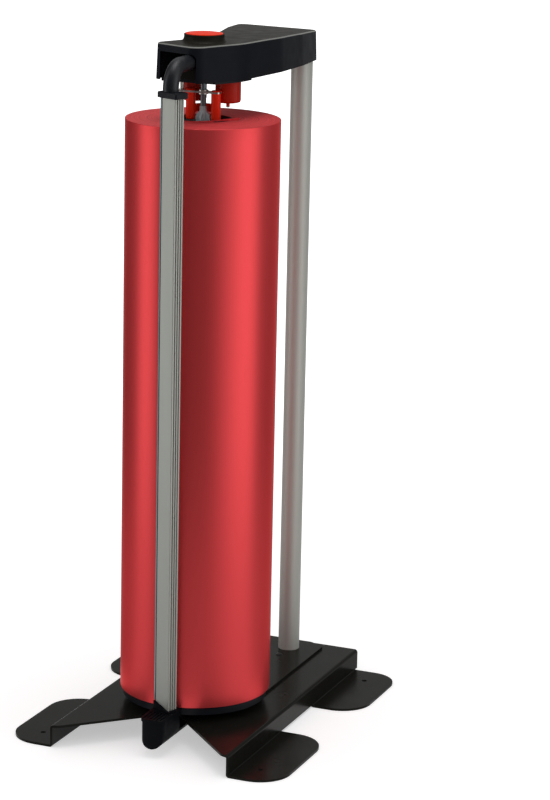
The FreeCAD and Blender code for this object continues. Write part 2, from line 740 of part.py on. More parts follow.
def finger_grip():
    """Two finger pegs joined by a half ring that passes behind the rod and its tip."""
    bore = STAR_R + FLAT_GAP * 2.0
    top = BRIDGE_BOTTOM + BRIDGE_HEIGHT
    reach = bore + BRIDGE_WALL + PAST
    bridge = ring(0, 0, bore, bore + BRIDGE_WALL, BRIDGE_BOTTOM, top)
    pieces = [bridge.cut(block(-reach, reach, -reach, 0, BRIDGE_BOTTOM - PAST, top + PAST))]
    for x in (-PEG_X, PEG_X):
        pieces.append(revolved([
            (0, PEG_BOTTOM), (PEG_R - PEG_ROUND, PEG_BOTTOM), (PEG_R - EDGE_BREAK, PEG_BOTTOM + EDGE_BREAK),
            (PEG_R, PEG_BOTTOM + PEG_ROUND), (PEG_R, STRIP_BOTTOM), (0, STRIP_BOTTOM),
        ], x, 0))
        pieces.append(disc(x, 0, PEG_STUD_R, STRIP_BOTTOM - PAST, STRIP_TOP))
    return joined(pieces)


def grip_caps():
    """Push-on caps that hold the finger pegs to the strip."""
    caps = []
    top = STRIP_TOP + PEG_CAP
    for x in (-PEG_X, PEG_X):
        caps.append(revolved([
            (0, STRIP_TOP), (PEG_R, STRIP_TOP), (PEG_R, top - PEG_CAP_EDGE), (PEG_R - PEG_CAP_EDGE, top),
            (0, top),
        ], x, 0))
    return caps


def crosshead():
    """Bar on the rod inside the head, with an eye for each spring pin."""
    pieces = [disc(0, 0, CROSSHEAD_HUB_R, CROSSHEAD_BOTTOM, CROSSHEAD_TOP)]
    reach = math.hypot(CUP_X, CUP_Y)
    half = CROSSHEAD_ARM / 2.0
    for side in (1, -1):
        angle = math.degrees(math.atan2(CUP_Y, side * CUP_X))
        arm = block(0, reach, -half, half, CROSSHEAD_BOTTOM, CROSSHEAD_TOP)
        arm = arm.cut(drill(reach, 0, CROSSHEAD_EYE_R - EDGE_BREAK, CROSSHEAD_BOTTOM, CROSSHEAD_TOP))
        pieces.append(turned(arm, 0, 0, angle))
        pieces.append(disc(side * CUP_X, CUP_Y, CROSSHEAD_EYE_R, CROSSHEAD_BOTTOM, CROSSHEAD_TOP))
    bar = joined(pieces).cut(drill(0, 0, ROD_R + SHAFT_GAP, CROSSHEAD_BOTTOM, CROSSHEAD_TOP))
    for side in (1, -1):
        bar = bar.cut(drill(side * CUP_X, CUP_Y, SPRING_PIN_R, CROSSHEAD_BOTTOM, CROSSHEAD_TOP))
    return bar


def spring_pins():
    """Pins of the crosshead: each runs down through the chassis and a cup, with a flange under its spring."""
    low = CUP_BOTTOM - SPRING_PIN_TIP
    high = CROSSHEAD_TOP + SPRING_PIN_HEAD
    flange_top = SPRING_SEAT + CLIP
    pins = []
    for x in (-CUP_X, CUP_X):
        pins.append(revolved([
            (0, low), (SPRING_PIN_R - EDGE_BREAK, low), (SPRING_PIN_R, low + EDGE_BREAK),
            (SPRING_PIN_R, SPRING_SEAT), (SPRING_FLANGE_R, SPRING_SEAT), (SPRING_FLANGE_R, flange_top),
            (SPRING_PIN_R, flange_top), (SPRING_PIN_R, high), (0, high),
        ], x, CUP_Y))
    return pins


def pin_clips():
    """Push-on clips that hold the pins to the crosshead."""
    return [ring(x, CUP_Y, SPRING_PIN_R, CROSSHEAD_EYE_R - FLAT_GAP, CROSSHEAD_TOP, CROSSHEAD_TOP + CLIP)
            for x in (-CUP_X, CUP_X)]


def lifter_springs():
    """Two compression springs in the cups, between the pins' flanges and the chassis."""
    return [coil(LIFT_SPRING_R, SPRING_SEAT + CLIP, PAD_BOTTOM, LIFT_SPRING_TURNS, x, CUP_Y)
            for x in (-CUP_X, CUP_X)]


def strip_guide_pin():
    """Pin under the chassis that the strip slides on."""
    return revolved([
        (0, GUIDE_PIN_BOTTOM), (GUIDE_PIN_R - EDGE_BREAK, GUIDE_PIN_BOTTOM),
        (GUIDE_PIN_R, GUIDE_PIN_BOTTOM + EDGE_BREAK), (GUIDE_PIN_R, SKIRT_BOTTOM), (0, SKIRT_BOTTOM),
    ], GUIDE_PIN_X, 0)


def spring_cups():
    """Two round cups under the chassis with rounded bottoms; each has a hole for its pin."""
    cups = []
    inner = CUP_R - CUP_WALL
    bore = SPRING_PIN_R + FIT_GAP
    for x in (-CUP_X, CUP_X):
        cups.append(revolved([
            (bore, CUP_BOTTOM), (CUP_R - CUP_ROUND, CUP_BOTTOM),
            (CUP_R - EDGE_BREAK, CUP_BOTTOM + EDGE_BREAK), (CUP_R, CUP_BOTTOM + CUP_ROUND),
            (CUP_R, PAD_BOTTOM), (inner, PAD_BOTTOM),
            (inner, CUP_BOTTOM + CUP_WALL), (bore, CUP_BOTTOM + CUP_WALL),
        ], x, CUP_Y))
    return cups


def spindle_bush():
    """Plain bush in the chassis that guides the rod."""
    return ring(0, 0, ROD_R + SHAFT_GAP, CLIP_R, PAD_BOTTOM, CHASSIS_TOP)


# ---------------------------------------------------------------- head
def head_outline(grow):
    """Plan of the head, offset outward by grow: straight runs joined by tangent arcs."""
    count = len(HEAD_PLAN)
    corners = []
    for i in range(count):
        x, y, radius = HEAD_PLAN[i]
        before = HEAD_PLAN[i - 1]
        after = HEAD_PLAN[(i + 1) % count]
        run_in = Vector(x - before[0], y - before[1], 0).normalize()
        run_out = Vector(after[0] - x, after[1] - y, 0).normalize()
        out_in = Vector(run_in.y, -run_in.x, 0)
        out_out = Vector(run_out.y, -run_out.x, 0)
        both = (out_in + out_out).normalize()
        shift = grow / both.dot(out_in)
        convex = run_in.x * run_out.y - run_in.y * run_out.x > 0
        corners.append((x + both.x * shift, y + both.y * shift, radius + (grow if convex else -grow)))
    return rounded_wire(corners)


def head_block(inset, drop, bottom):
    """Solid under the crowned roof: drafted sides and a roof that is an arc from front to back."""
    low = head_outline(SHELL_DRAFT - inset)
    low.translate(Vector(0, 0, bottom))
    high = head_outline(-inset)
    high.translate(Vector(0, 0, CROWN_TOP + PAST))
    sides = Part.makeLoft([low, high], True, True)
    centre = Vector(-FOOT_REACH, CROWN_CREST_Y, CROWN_TOP - CROWN_R)
    return sides.common(Part.makeCylinder(CROWN_R - drop, FOOT_REACH * 2.0, centre, X_AXIS))


def roof_height(y):
    """Underside of the head's roof at a distance y back."""
    return ROOF_UNDER - (y - CROWN_CREST_Y) ** 2 / (2.0 * CROWN_R)


def bezel():
    """Ring round the button: it rises from the roof in a concave sweep to a thin rounded rim."""
    foot = Vector(BEZEL_R + BEZEL_FLARE, 0, CROWN_TOP - BEZEL_SINK)
    neck = Vector(BEZEL_R, 0, BEZEL_TOP - EDGE_BREAK)
    sweep = Vector(BEZEL_R + BEZEL_FLARE * BEZEL_SWEEP, 0, foot.z + (neck.z - foot.z) * BEZEL_SWEEP)
    points = [
        neck, Vector(BEZEL_R - EDGE_BREAK / 2.0, 0, BEZEL_TOP), Vector(0, 0, BEZEL_TOP),
        Vector(0, 0, ROOF_UNDER), Vector(foot.x, 0, ROOF_UNDER), foot,
    ]
    edges = [Part.makeLine(points[i], points[i + 1]) for i in range(len(points) - 1)]
    edges.append(Part.Arc(foot, sweep, neck).toShape())
    return Part.Face(Part.Wire(edges)).revolve(Vector(0, 0, 0), Z_AXIS, 360)


def head_shell():
    """Moulded shell with a rounded roof edge, the raised ring of the button and the recess for the elbow."""
    outer = head_block(0.0, 0.0, SKIRT_BOTTOM)
    roof_edges = [e for e in outer.Edges if e.BoundBox.ZMin > (SKIRT_BOTTOM + CROWN_TOP) / 2.0]
    outer = outer.makeFillet(BEVEL, roof_edges)
    shell = joined([outer, bezel()])
    shell = shell.cut(head_block(SHELL_WALL, SHELL_WALL, SKIRT_BOTTOM - PAST))
    shell = shell.cut(drill(0, 0, BEZEL_BORE_R, ROOF_UNDER, BEZEL_TOP))
    corners = [
        (RECESS_LEFT, SKIRT_BOTTOM - PAST, 0), (RECESS_RIGHT, SKIRT_BOTTOM - PAST, 0),
        (RECESS_RIGHT, RECESS_TOP, RECESS_R), (RECESS_LEFT, RECESS_TOP, RECESS_LEFT_R),
    ]
    return shell.cut(along_y(rounded_wire(corners), DECK_FRONT, RECESS_BACK))


def button_seat():
    """Cup under the roof: it carries the button's spring, guides the leg, and has rails for the latch."""
    floor_top = SEAT_FLOOR + BUTTON_WALL
    body = disc(0, 0, BEZEL_R, SEAT_FLOOR, SEAT_TOP)
    body = body.cut(disc(0, 0, BEZEL_BORE_R, floor_top, ROOF_UNDER + PAST))
    rails = []
    out = LATCH_HALF_WIDTH + FLAT_GAP
    tail = -ROD_R - FIT_GAP - LATCH_LENGTH
    low = LATCH_BOTTOM - FIT_GAP - LATCH_RAIL
    for side in (1, -1):
        y0, y1 = sorted((side * out, side * (out + LATCH_RAIL)))
        rails.append(block(tail, -LATCH_RAIL_START, y0, y1, low, SEAT_FLOOR + PAST))
        y0, y1 = sorted((side * (out - LATCH_RAIL), side * (out + LATCH_RAIL)))
        rails.append(block(tail, -LATCH_RAIL_START, y0, y1, low, low + LATCH_RAIL))
    body = joined([body] + rails).cut(drill(0, 0, ROD_R + PAST, SEAT_FLOOR, floor_top))
    half = LEG_SIZE / 2.0 + FLAT_GAP
    return body.cut(block(LEG_X - half, LEG_X + half, -half, half, SEAT_FLOOR - PAST, floor_top + PAST))


def head_chassis():
    """Plate that closes the head from below, thicker round the spindle, with an ear over each spring cup."""
    wide = DECK_HALF_WIDTH
    plate = prism(head_outline(-SHELL_WALL - FLAT_GAP), SKIRT_BOTTOM, CHASSIS_TOP)
    pad = prism(head_outline(-SHELL_WALL - FLAT_GAP), PAD_BOTTOM, SKIRT_BOTTOM)
    pad = pad.common(block(-wide, wide, RECESS_BACK, CHASSIS_PAD_BACK, PAD_BOTTOM, SKIRT_BOTTOM))
    pieces = [plate, pad, disc(GUIDE_PIN_X, 0, GUIDE_PIN_BOSS_R, PAD_BOTTOM, SKIRT_BOTTOM)]
    collar = CUP_R - CUP_WALL - FIT_GAP
    for x in (-CUP_X, CUP_X):
        pieces.append(disc(x, CUP_Y, CUP_R + PAD_EAR, PAD_BOTTOM, SKIRT_BOTTOM))
        pieces.append(ring(x, CUP_Y, collar - CUP_WALL, collar, PAD_BOTTOM - COLLAR_DEPTH, PAD_BOTTOM + PAST))
    chassis = joined(pieces)
    cuts = [
        block(-wide, RECESS_RIGHT, DECK_FRONT, RECESS_BACK, PAD_BOTTOM - PAST, CHASSIS_TOP + PAST),
        drill(0, 0, CLIP_R, PAD_BOTTOM, CHASSIS_TOP),
        drill(COLUMN_X, COLUMN_Y, COLUMN_R + FIT_GAP, PAD_BOTTOM, CHASSIS_TOP),
        disc(GUIDE_PIN_X, 0, GUIDE_PIN_R, PAD_BOTTOM - PAST, SKIRT_BOTTOM),
    ]
    for x in (-CUP_X, CUP_X):
        cuts.append(drill(x, CUP_Y, SPRING_PIN_R + SHAFT_GAP, PAD_BOTTOM, CHASSIS_TOP))
    for x, y in CHASSIS_SCREWS:
        cuts.append(drill(x, y, SCREW_R, PAD_BOTTOM, CHASSIS_TOP))
    for cut in cuts:
        chassis = chassis.cut(cut)
    return chassis


def chassis_screws():
    """Pan-head screws from below into the shell's pillars."""
    screws = []
    for x, y in CHASSIS_SCREWS:
        head = disc(x, y, SCREW_HEAD_R, SKIRT_BOTTOM - SCREW_HEAD, SKIRT_BOTTOM)
        screws.append(joined([head, disc(x, y, SCREW_R, SKIRT_BOTTOM, CHASSIS_TOP + SCREW_BITE)]))
    return screws


def shell_pillars():
    """Screw pillars between the chassis and the roof."""
    pillars = []
    for x, y in CHASSIS_SCREWS:
        tall = disc(x, y, PILLAR_R, CHASSIS_TOP, roof_height(y + PILLAR_R) - SHAFT_GAP)
        pillars.append(tall.cut(disc(x, y, SCREW_R, CHASSIS_TOP - PAST, CHASSIS_TOP + PILLAR_BORE)))
    return pillars


def column_clamp():
    """Block on the chassis that fits round the column on its free sides."""
    body = block(COLUMN_X - COLUMN_R - CLAMP_WALL, COLUMN_X, COLUMN_Y - COLUMN_R - CLAMP_WALL, COLUMN_Y,
                 CHASSIS_TOP, CHASSIS_TOP + CLAMP_HEIGHT)
    body = body.cut(drill(COLUMN_X, COLUMN_Y, COLUMN_R, CHASSIS_TOP, CHASSIS_TOP + CLAMP_HEIGHT))
    return body.cut(clamp_screw())


def clamp_screw():
    """Socket screw across the clamp, tightened against the column."""
    head_x = COLUMN_X - COLUMN_R - CLAMP_WALL
    start = Vector(head_x, COLUMN_Y - CLAMP_HEAD_R, CHASSIS_TOP + CLAMP_HEIGHT / 2.0)
    head = Part.makeCylinder(CLAMP_HEAD_R, CLAMP_HEAD, start - Vector(CLAMP_HEAD, 0, 0), X_AXIS)
    shank = Part.makeCylinder(CLAMP_SCREW_R, CLAMP_WALL + SHAFT_GAP, start, X_AXIS)
    return joined([head, shank])


# ---------------------------------------------------------------- button and latch
def button_cap():
    """Domed cap with a skirt, a hollow post over the rod and a leg with a sloped foot for the latch."""
    skirt_low = BUTTON_RIM - BUTTON_SKIRT
    under = BUTTON_RIM - BUTTON_WALL
    dome_r = (BUTTON_R ** 2 + BUTTON_DOME ** 2) / (2.0 * BUTTON_DOME)
    ball = Part.makeSphere(dome_r, Vector(0, 0, BUTTON_RIM + BUTTON_DOME - dome_r))
    dome = ball.common(disc(0, 0, BUTTON_R, BUTTON_RIM - PAST, BUTTON_RIM + BUTTON_DOME + PAST))
    cap = joined([disc(0, 0, BUTTON_R, skirt_low, BUTTON_RIM), dome])
    cap = cap.cut(disc(0, 0, BUTTON_R - BUTTON_WALL, skirt_low - PAST, under))
    post_low = SEAT_FLOOR + BUTTON_WALL + BUTTON_TRAVEL + PAST
    post = ring(0, 0, ROD_R + PAST, BUTTON_POST_R, post_low, under + PAST)
    post = joined([post, disc(0, 0, BUTTON_POST_R, under, under + PAST)])
    half = LEG_SIZE / 2.0
    tip = LATCH_BOTTOM - EDGE_BREAK
    leg = across([
        (LEG_X - half, under + PAST), (LEG_X - half, LEG_SLOPE_START), (leg_slope_x(tip), tip),
        (LEG_X + half, tip), (LEG_X + half, under + PAST),
    ], half)
    return joined([cap, post, leg])


def leg_slope_x(z):
    """Where the cam slope of the button's leg lies at a height."""
    return LEG_X - LEG_SIZE / 2.0 + LATCH_RATIO * (LEG_SLOPE_START - z)


def button_spring():
    """Return spring round the button's post."""
    radius = BUTTON_POST_R + SPRING_WIRE_R + FLAT_GAP * 2.0
    return coil(radius, SEAT_FLOOR + BUTTON_WALL, BUTTON_RIM - BUTTON_WALL, BUTTON_SPRING_TURNS)


def latch_slide():
    """Flat latch beside the rod; the leg's slope bears on the slanted end of its slot."""
    tip = -ROD_R - FIT_GAP
    top = LATCH_BOTTOM + LATCH
    plate = block(tip - LATCH_LENGTH, tip, -LATCH_HALF_WIDTH, LATCH_HALF_WIDTH, LATCH_BOTTOM, top)
    far = LEG_X + LEG_SIZE / 2.0 + FLAT_GAP + BUTTON_TRAVEL * LATCH_RATIO
    above = top + PAST
    below = LATCH_BOTTOM - PAST
    slot = across([
        (leg_slope_x(above) - FIT_GAP, above), (far, above), (far, below),
        (leg_slope_x(below) - FIT_GAP, below),
    ], LEG_SIZE / 2.0 + FLAT_GAP)
    return plate.cut(slot)


# ---------------------------------------------------------------- cutter carriage
def rail_frame(shape):
    """Turn a piece drawn square to the rail into its place."""
    placed = shape.copy()
    placed.rotate(Vector(0, 0, 0), Z_AXIS, RAIL_TURN)
    placed.translate(Vector(RAIL_X, RAIL_Y, 0))
    return placed


def cutting_rail():
    """Hollow extrusion with a plain front face, a blade slot at the left and grooves down the right side."""
    half_w = RAIL_WIDTH / 2.0
    half_d = RAIL_DEPTH / 2.0
    low = ARM_TOP - PAST
    high = RAIL_TOP + PAST
    body = prism(box_plan(-half_w, half_w, -half_d, half_d, EDGE_BREAK), ARM_TOP, RAIL_TOP)
    bore_w = half_w - RAIL_WALL - BLADE_SEAT
    cuts = [block(-bore_w, bore_w, RAIL_WALL - half_d, half_d - RAIL_WALL, low, high)]
    pitch = RAIL_DEPTH / (RAIL_GROOVES + 1)
    for i in range(RAIL_GROOVES):
        y = pitch * (i + 1) - half_d - RAIL_GROOVE / 2.0
        cuts.append(block(half_w - RAIL_GROOVE, half_w + PAST, y, y + RAIL_GROOVE, low, high))
    slot_y = BLADE_ROOT - half_d
    cuts.append(block(-half_w - PAST, BLADE_SEAT - half_w, slot_y, slot_y + BLADE, low, high))
    for cut in cuts:
        body = body.cut(cut)
    return rail_frame(body)


def cutter_blade():
    """Steel strip seated in the rail's slot, ground to an edge."""
    seat = BLADE_SEAT - RAIL_WIDTH / 2.0
    edge = -BLADE_REACH - RAIL_WIDTH / 2.0
    front = BLADE_ROOT - RAIL_DEPTH / 2.0
    back = front + BLADE
    low = ARM_TOP + COLLAR_HEIGHT + FLAT_GAP
    outline = [(seat, front), (edge + BLADE_GROUND, front), (edge, back), (seat, back)]
    points = [Vector(x, y, low) for x, y in outline]
    blade = Part.Face(Part.makePolygon(points + points[:1])).extrude(Vector(0, 0, RAIL_TOP - low))
    return rail_frame(blade)


def rail_cap():
    """Bevelled end cap that joins the rail to the elbow, with a tongue down inside the rail."""
    top = RAIL_TOP + CAP_HEIGHT
    deep = RAIL_DEPTH / 2.0 + CAP_LIP
    plan = box_plan(-RAIL_WIDTH / 2.0 - CAP_LEFT, RAIL_WIDTH / 2.0 + CAP_RIGHT, -deep, deep, CAP_CORNER_R)
    cap = prism(plan, RAIL_TOP, top)
    cap = cap.makeChamfer(EDGE_BREAK, [e for e in cap.Edges if e.BoundBox.ZMin > top - EDGE_BREAK])
    tongue_w = RAIL_WIDTH / 2.0 - RAIL_WALL - BLADE_SEAT - FIT_GAP
    tongue_d = RAIL_DEPTH / 2.0 - RAIL_WALL - FIT_GAP
    tongue = block(-tongue_w, tongue_w, -tongue_d, tongue_d, RAIL_TOP - CAP_TONGUE, RAIL_TOP + PAST)
    return rail_frame(joined([cap, tongue]))


def elbow_arm():
    """Round arm that rises from the cap and bends back into the head."""
    start = Vector(ELBOW_X, ELBOW_Y, RAIL_TOP + CAP_HEIGHT)
    bend_start = Vector(ELBOW_X, ELBOW_Y, ELBOW_AXIS_TOP - ELBOW_BEND_R)
    bend_end = Vector(ELBOW_X, ELBOW_Y + ELBOW_BEND_R, ELBOW_AXIS_TOP)
    lean = ELBOW_BEND_R * (1.0 - math.sqrt(0.5))
    middle = Vector(ELBOW_X, ELBOW_Y + lean, ELBOW_AXIS_TOP - lean)
    end = Vector(ELBOW_X, ELBOW_STUB_END, ELBOW_AXIS_TOP)
    path = Part.Wire([
        Part.makeLine(start, bend_start), Part.Arc(bend_start, middle, bend_end).toShape(),
        Part.makeLine(bend_end, end),
    ])
    section = Part.Wire(Part.makeCircle(ELBOW_R, start, Z_AXIS))
    return path.makePipeShell([section], True, False)


def slide_bar():
    """Flat slotted bar on the chassis that straddles the rod, turned up at the front to meet the elbow."""
    tab_y = ELBOW_STUB_END
    left = BAR_X - BAR_HALF_WIDTH
    right = BAR_X + BAR_HALF_WIDTH
    plan = rounded_wire([
        (left, tab_y, 0), (right, tab_y, 0), (right, BAR_BACK, BAR_CORNER_R), (left, BAR_BACK, BAR_CORNER_R),
    ])
    bar = prism(plan, BAR_BOTTOM, BAR_TOP)
    tab = block(left, right, tab_y, tab_y + BAR, BAR_BOTTOM, ELBOW_AXIS_TOP + BAR_TAB_RISE)
    post = disc(BAR_X, BAR_BACK - POST_INSET, POST_R, BAR_TOP - PAST, UPPER_SPRING_Z + POST_R)
    slot_front = tab_y + BAR + BAR_SLOT_HALF
    slot = box_plan(-BAR_SLOT_HALF, BAR_SLOT_HALF, slot_front, BAR_SLOT_BACK, BAR_SLOT_R)
    return joined([bar, tab, post]).cut(prism(slot, BAR_BOTTOM - PAST, BAR_TOP + PAST))


def bar_keepers():
    """Bridges on the chassis that hold the slide bar down."""
    keepers = []
    half = BAR_HALF_WIDTH + FLAT_GAP
    under = BAR_TOP + FLAT_GAP
    for y in (RECESS_BACK + FLAT_GAP, KEEPER_BACK_Y):
        back = y + KEEPER_LENGTH
        body = block(BAR_X - half - KEEPER_WALL, BAR_X + half + KEEPER_WALL, y, back, CHASSIS_TOP,
                     under + KEEPER_WALL)
        way = block(BAR_X - half, BAR_X + half, y - PAST, back + PAST, CHASSIS_TOP - PAST, under)
        keepers.append(body.cut(way))
    return keepers


def pull_spring(x, y, z):
    """Extension spring from a post at (x, y) backward: ridged barrel with a flat loop at each end."""
    profile = [Vector(0, 0, 0)]
    for i in range(PULL_TURNS):
        profile.append(Vector(PULL_SPRING_R - SPRING_WIRE_R, COIL_PITCH * i, 0))
        profile.append(Vector(PULL_SPRING_R, COIL_PITCH * (i + 0.5), 0))
    profile.append(Vector(PULL_SPRING_R - SPRING_WIRE_R, COIL_PITCH * PULL_TURNS, 0))
    profile.append(Vector(0, COIL_PITCH * PULL_TURNS, 0))
    pieces = [Part.Face(Part.makePolygon(profile + profile[:1])).revolve(Vector(0, 0, 0), Y_AXIS, 360)]
    for loop_y in (-PULL_LOOP_R, COIL_PITCH * PULL_TURNS + PULL_LOOP_R):
        pieces.append(Part.makeTorus(PULL_LOOP_R, SPRING_WIRE_R, Vector(0, loop_y, 0), Z_AXIS))
    spring = joined(pieces)
    spring.translate(Vector(x, y + PULL_LOOP_R, z))
    return spring


def pull_springs():
    """One spring draws the slide bar back, the other the lower arm."""
    return [
        pull_spring(BAR_X, BAR_BACK - POST_INSET, UPPER_SPRING_Z),
        pull_spring(ARM_X, TONGUE_BACK - POST_INSET, LOWER_SPRING_Z),
    ]


def head_anchor():
    """Post on the chassis for the upper pull spring."""
    return disc(BAR_X, BAR_BACK - POST_INSET + PULL_REACH, POST_R, CHASSIS_TOP, UPPER_SPRING_Z + POST_R)


def base_anchor():
    """Post under the deck for the lower pull spring."""
    return disc(ARM_X, TONGUE_BACK - POST_INSET + PULL_REACH, POST_R, LOWER_SPRING_Z - POST_R, DECK_UNDER)


# ---------------------------------------------------------------- lower arm
def arm_plan(inset, back):
    """Plan of the arm's thumb rest: straight sides and a bowed front."""
    half = ARM_WIDTH / 2.0 - inset
    front = ARM_FRONT + inset
    return rounded_wire([
        (ARM_X + half, back, 0), (ARM_X - half, back, 0), (ARM_X - half, front + ARM_BOW, ARM_CORNER_R),
        (ARM_X, front, ARM_BOW_R), (ARM_X + half, front + ARM_BOW, ARM_CORNER_R),
    ])


def arm_belly():
    """Section of the arm below its lip: flat top and a half-round underside."""
    half = ARM_WIDTH / 2.0 - ARM_LIP_STEP
    top = ARM_TOP - ARM_LIP
    round_z = ARM_BOTTOM + half
    left = Vector(ARM_X - half, round_z, 0)
    right = Vector(ARM_X + half, round_z, 0)
    left_top = Vector(ARM_X - half, top, 0)
    right_top = Vector(ARM_X + half, top, 0)
    return Part.Wire([
        Part.makeLine(left_top, left), Part.Arc(left, Vector(ARM_X, ARM_BOTTOM, 0), right).toShape(),
        Part.makeLine(right, right_top), Part.makeLine(right_top, left_top),
    ])


def arm_collar():
    """Collar round the rail's foot, highest behind the blade and sloping down to the right."""
    half_w = RAIL_WIDTH / 2.0 + COLLAR_WALL
    half_d = RAIL_DEPTH / 2.0 + COLLAR_WALL
    low = ARM_TOP - ARM_LIP
    high = ARM_TOP + COLLAR_HEIGHT
    body = prism(box_plan(-half_w, half_w, -half_d, half_d, COLLAR_CORNER_R), low, high)
    slope = across([
        (-half_w, low), (half_w, low), (half_w, ARM_TOP + COLLAR_LOW), (-RAIL_WIDTH / 2.0, high),
        (-half_w, high),
    ], half_d)
    return rail_frame(body.common(slope)).cut(drill(0, 0, ROLL_R + FLAT_GAP * 2.0, low, high))


def lower_arm():
    """Moulded arm in the notch: ribbed thumb rest, half-round belly, collar round the rail, tongue behind."""
    heel = -ROLL_R - FLAT_GAP * 4.0
    body = along_y(arm_belly(), ARM_FRONT, NOTCH_APEX)
    body = body.common(prism(arm_plan(ARM_LIP_STEP, NOTCH_APEX), ARM_BOTTOM - PAST, ARM_TOP))
    body = body.cut(block(ARM_X - ARM_WIDTH, ARM_X + ARM_WIDTH, heel, NOTCH_APEX + PAST, TONGUE_TOP, ARM_TOP))
    lip = prism(arm_plan(0.0, heel), ARM_TOP - ARM_LIP, ARM_TOP)
    half = TONGUE_WIDTH / 2.0
    root = NOTCH_APEX - TONGUE_ROOT
    tongue = block(ARM_X - half, ARM_X + half, root, TONGUE_BACK, TONGUE_BOTTOM, TONGUE_TOP)
    arm = joined([body, lip, tongue, arm_collar()])
    pitch = ARM_WIDTH / (ARM_RIBS + 1)
    rib_end = RAIL_Y - RAIL_DEPTH
    for i in range(ARM_RIBS):
        x = ARM_X - ARM_WIDTH / 2.0 + pitch * (i + 1) - ARM_GROOVE / 2.0
        arm = arm.cut(block(x, x + ARM_GROOVE, ARM_FRONT + ARM_RIB_FRONT, rib_end, ARM_TOP - ARM_GROOVE_DEPTH,
                            ARM_TOP + PAST))
    socket = block(-RAIL_WIDTH / 2.0, RAIL_WIDTH / 2.0, -RAIL_DEPTH / 2.0, RAIL_DEPTH / 2.0, ARM_TOP,
                   ARM_TOP + COLLAR_HEIGHT + PAST)
    arm = arm.cut(rail_frame(socket))
    post = disc(ARM_X, TONGUE_BACK - POST_INSET, POST_R, LOWER_SPRING_Z - POST_R, TONGUE_BOTTOM + PAST)
    return joined([arm, post])


def arm_guides():
    """Two hangers under the deck that carry the arm's tongue."""
    guides = []
    half = TONGUE_WIDTH / 2.0 + FLAT_GAP
    low = TONGUE_BOTTOM - FLAT_GAP
    for y in (GUIDE_FRONT_Y, GUIDE_BACK_Y):
        back = y + KEEPER_LENGTH
        outer = half + KEEPER_WALL
        body = block(ARM_X - outer, ARM_X + outer, y, back, low - KEEPER_WALL, DECK_UNDER)
        way = block(ARM_X - half, ARM_X + half, y - PAST, back + PAST, low, TONGUE_TOP + FLAT_GAP)
        guides.append(body.cut(way))
    return guides


# ---------------------------------------------------------------- build
def main():
    os.makedirs("parts", exist_ok=True)
    save("base_plate", base_plate())
    save("column_plate", column_plate())
    save("plate_screws", *plate_screws())
    save("column_tube", column_tube())
    save("column_anchor", column_anchor())
    save("column_bolt", column_bolt())
    save("turntable_axle", turntable_axle())
    save("thrust_washer", thrust_washer())
    save("turntable", turntable())
    save("paper_roll", paper_roll())
    save("roll_core", roll_core())
    save("core_plug", core_plug())
    save("star_tip", star_tip())
    save("spindle_rod", spindle_rod())
    save("rod_clips", *rod_clips())
    save("cross_strip", cross_strip())
    save("finger_grip", finger_grip())
    save("grip_caps", *grip_caps())
    save("crosshead", crosshead())
    save("lifter_springs", *lifter_springs())
    save("strip_guide_pin", strip_guide_pin())
    save("spring_cups", *spring_cups())
    save("spring_pins", *spring_pins())
    save("pin_clips", *pin_clips())
    save("spindle_bush", spindle_bush())
    save("head_shell", head_shell())
    save("button_seat", button_seat())
    save("head_chassis", head_chassis())
    save("chassis_screws", *chassis_screws())
    save("shell_pillars", *shell_pillars())
    save("column_clamp", column_clamp())
    save("clamp_screw", clamp_screw())
    save("button_cap", button_cap())
    save("button_spring", button_spring())
    save("latch_slide", latch_slide())
    save("cutting_rail", cutting_rail())
    save("cutter_blade", cutter_blade())
    save("rail_cap", rail_cap())
    save("elbow_arm", elbow_arm())
    save("slide_bar", slide_bar())
    save("bar_keepers", *bar_keepers())
    save("pull_springs", *pull_springs())
    save("head_anchor", head_anchor())
    save("base_anchor", base_anchor())
    save("lower_arm", lower_arm())
    save("arm_guides", *arm_guides())


main()
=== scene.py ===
"""Looks of the gift wrap paper cutter: its finishes, wound paper and springs, and the stage."""

import sys
import json
import math

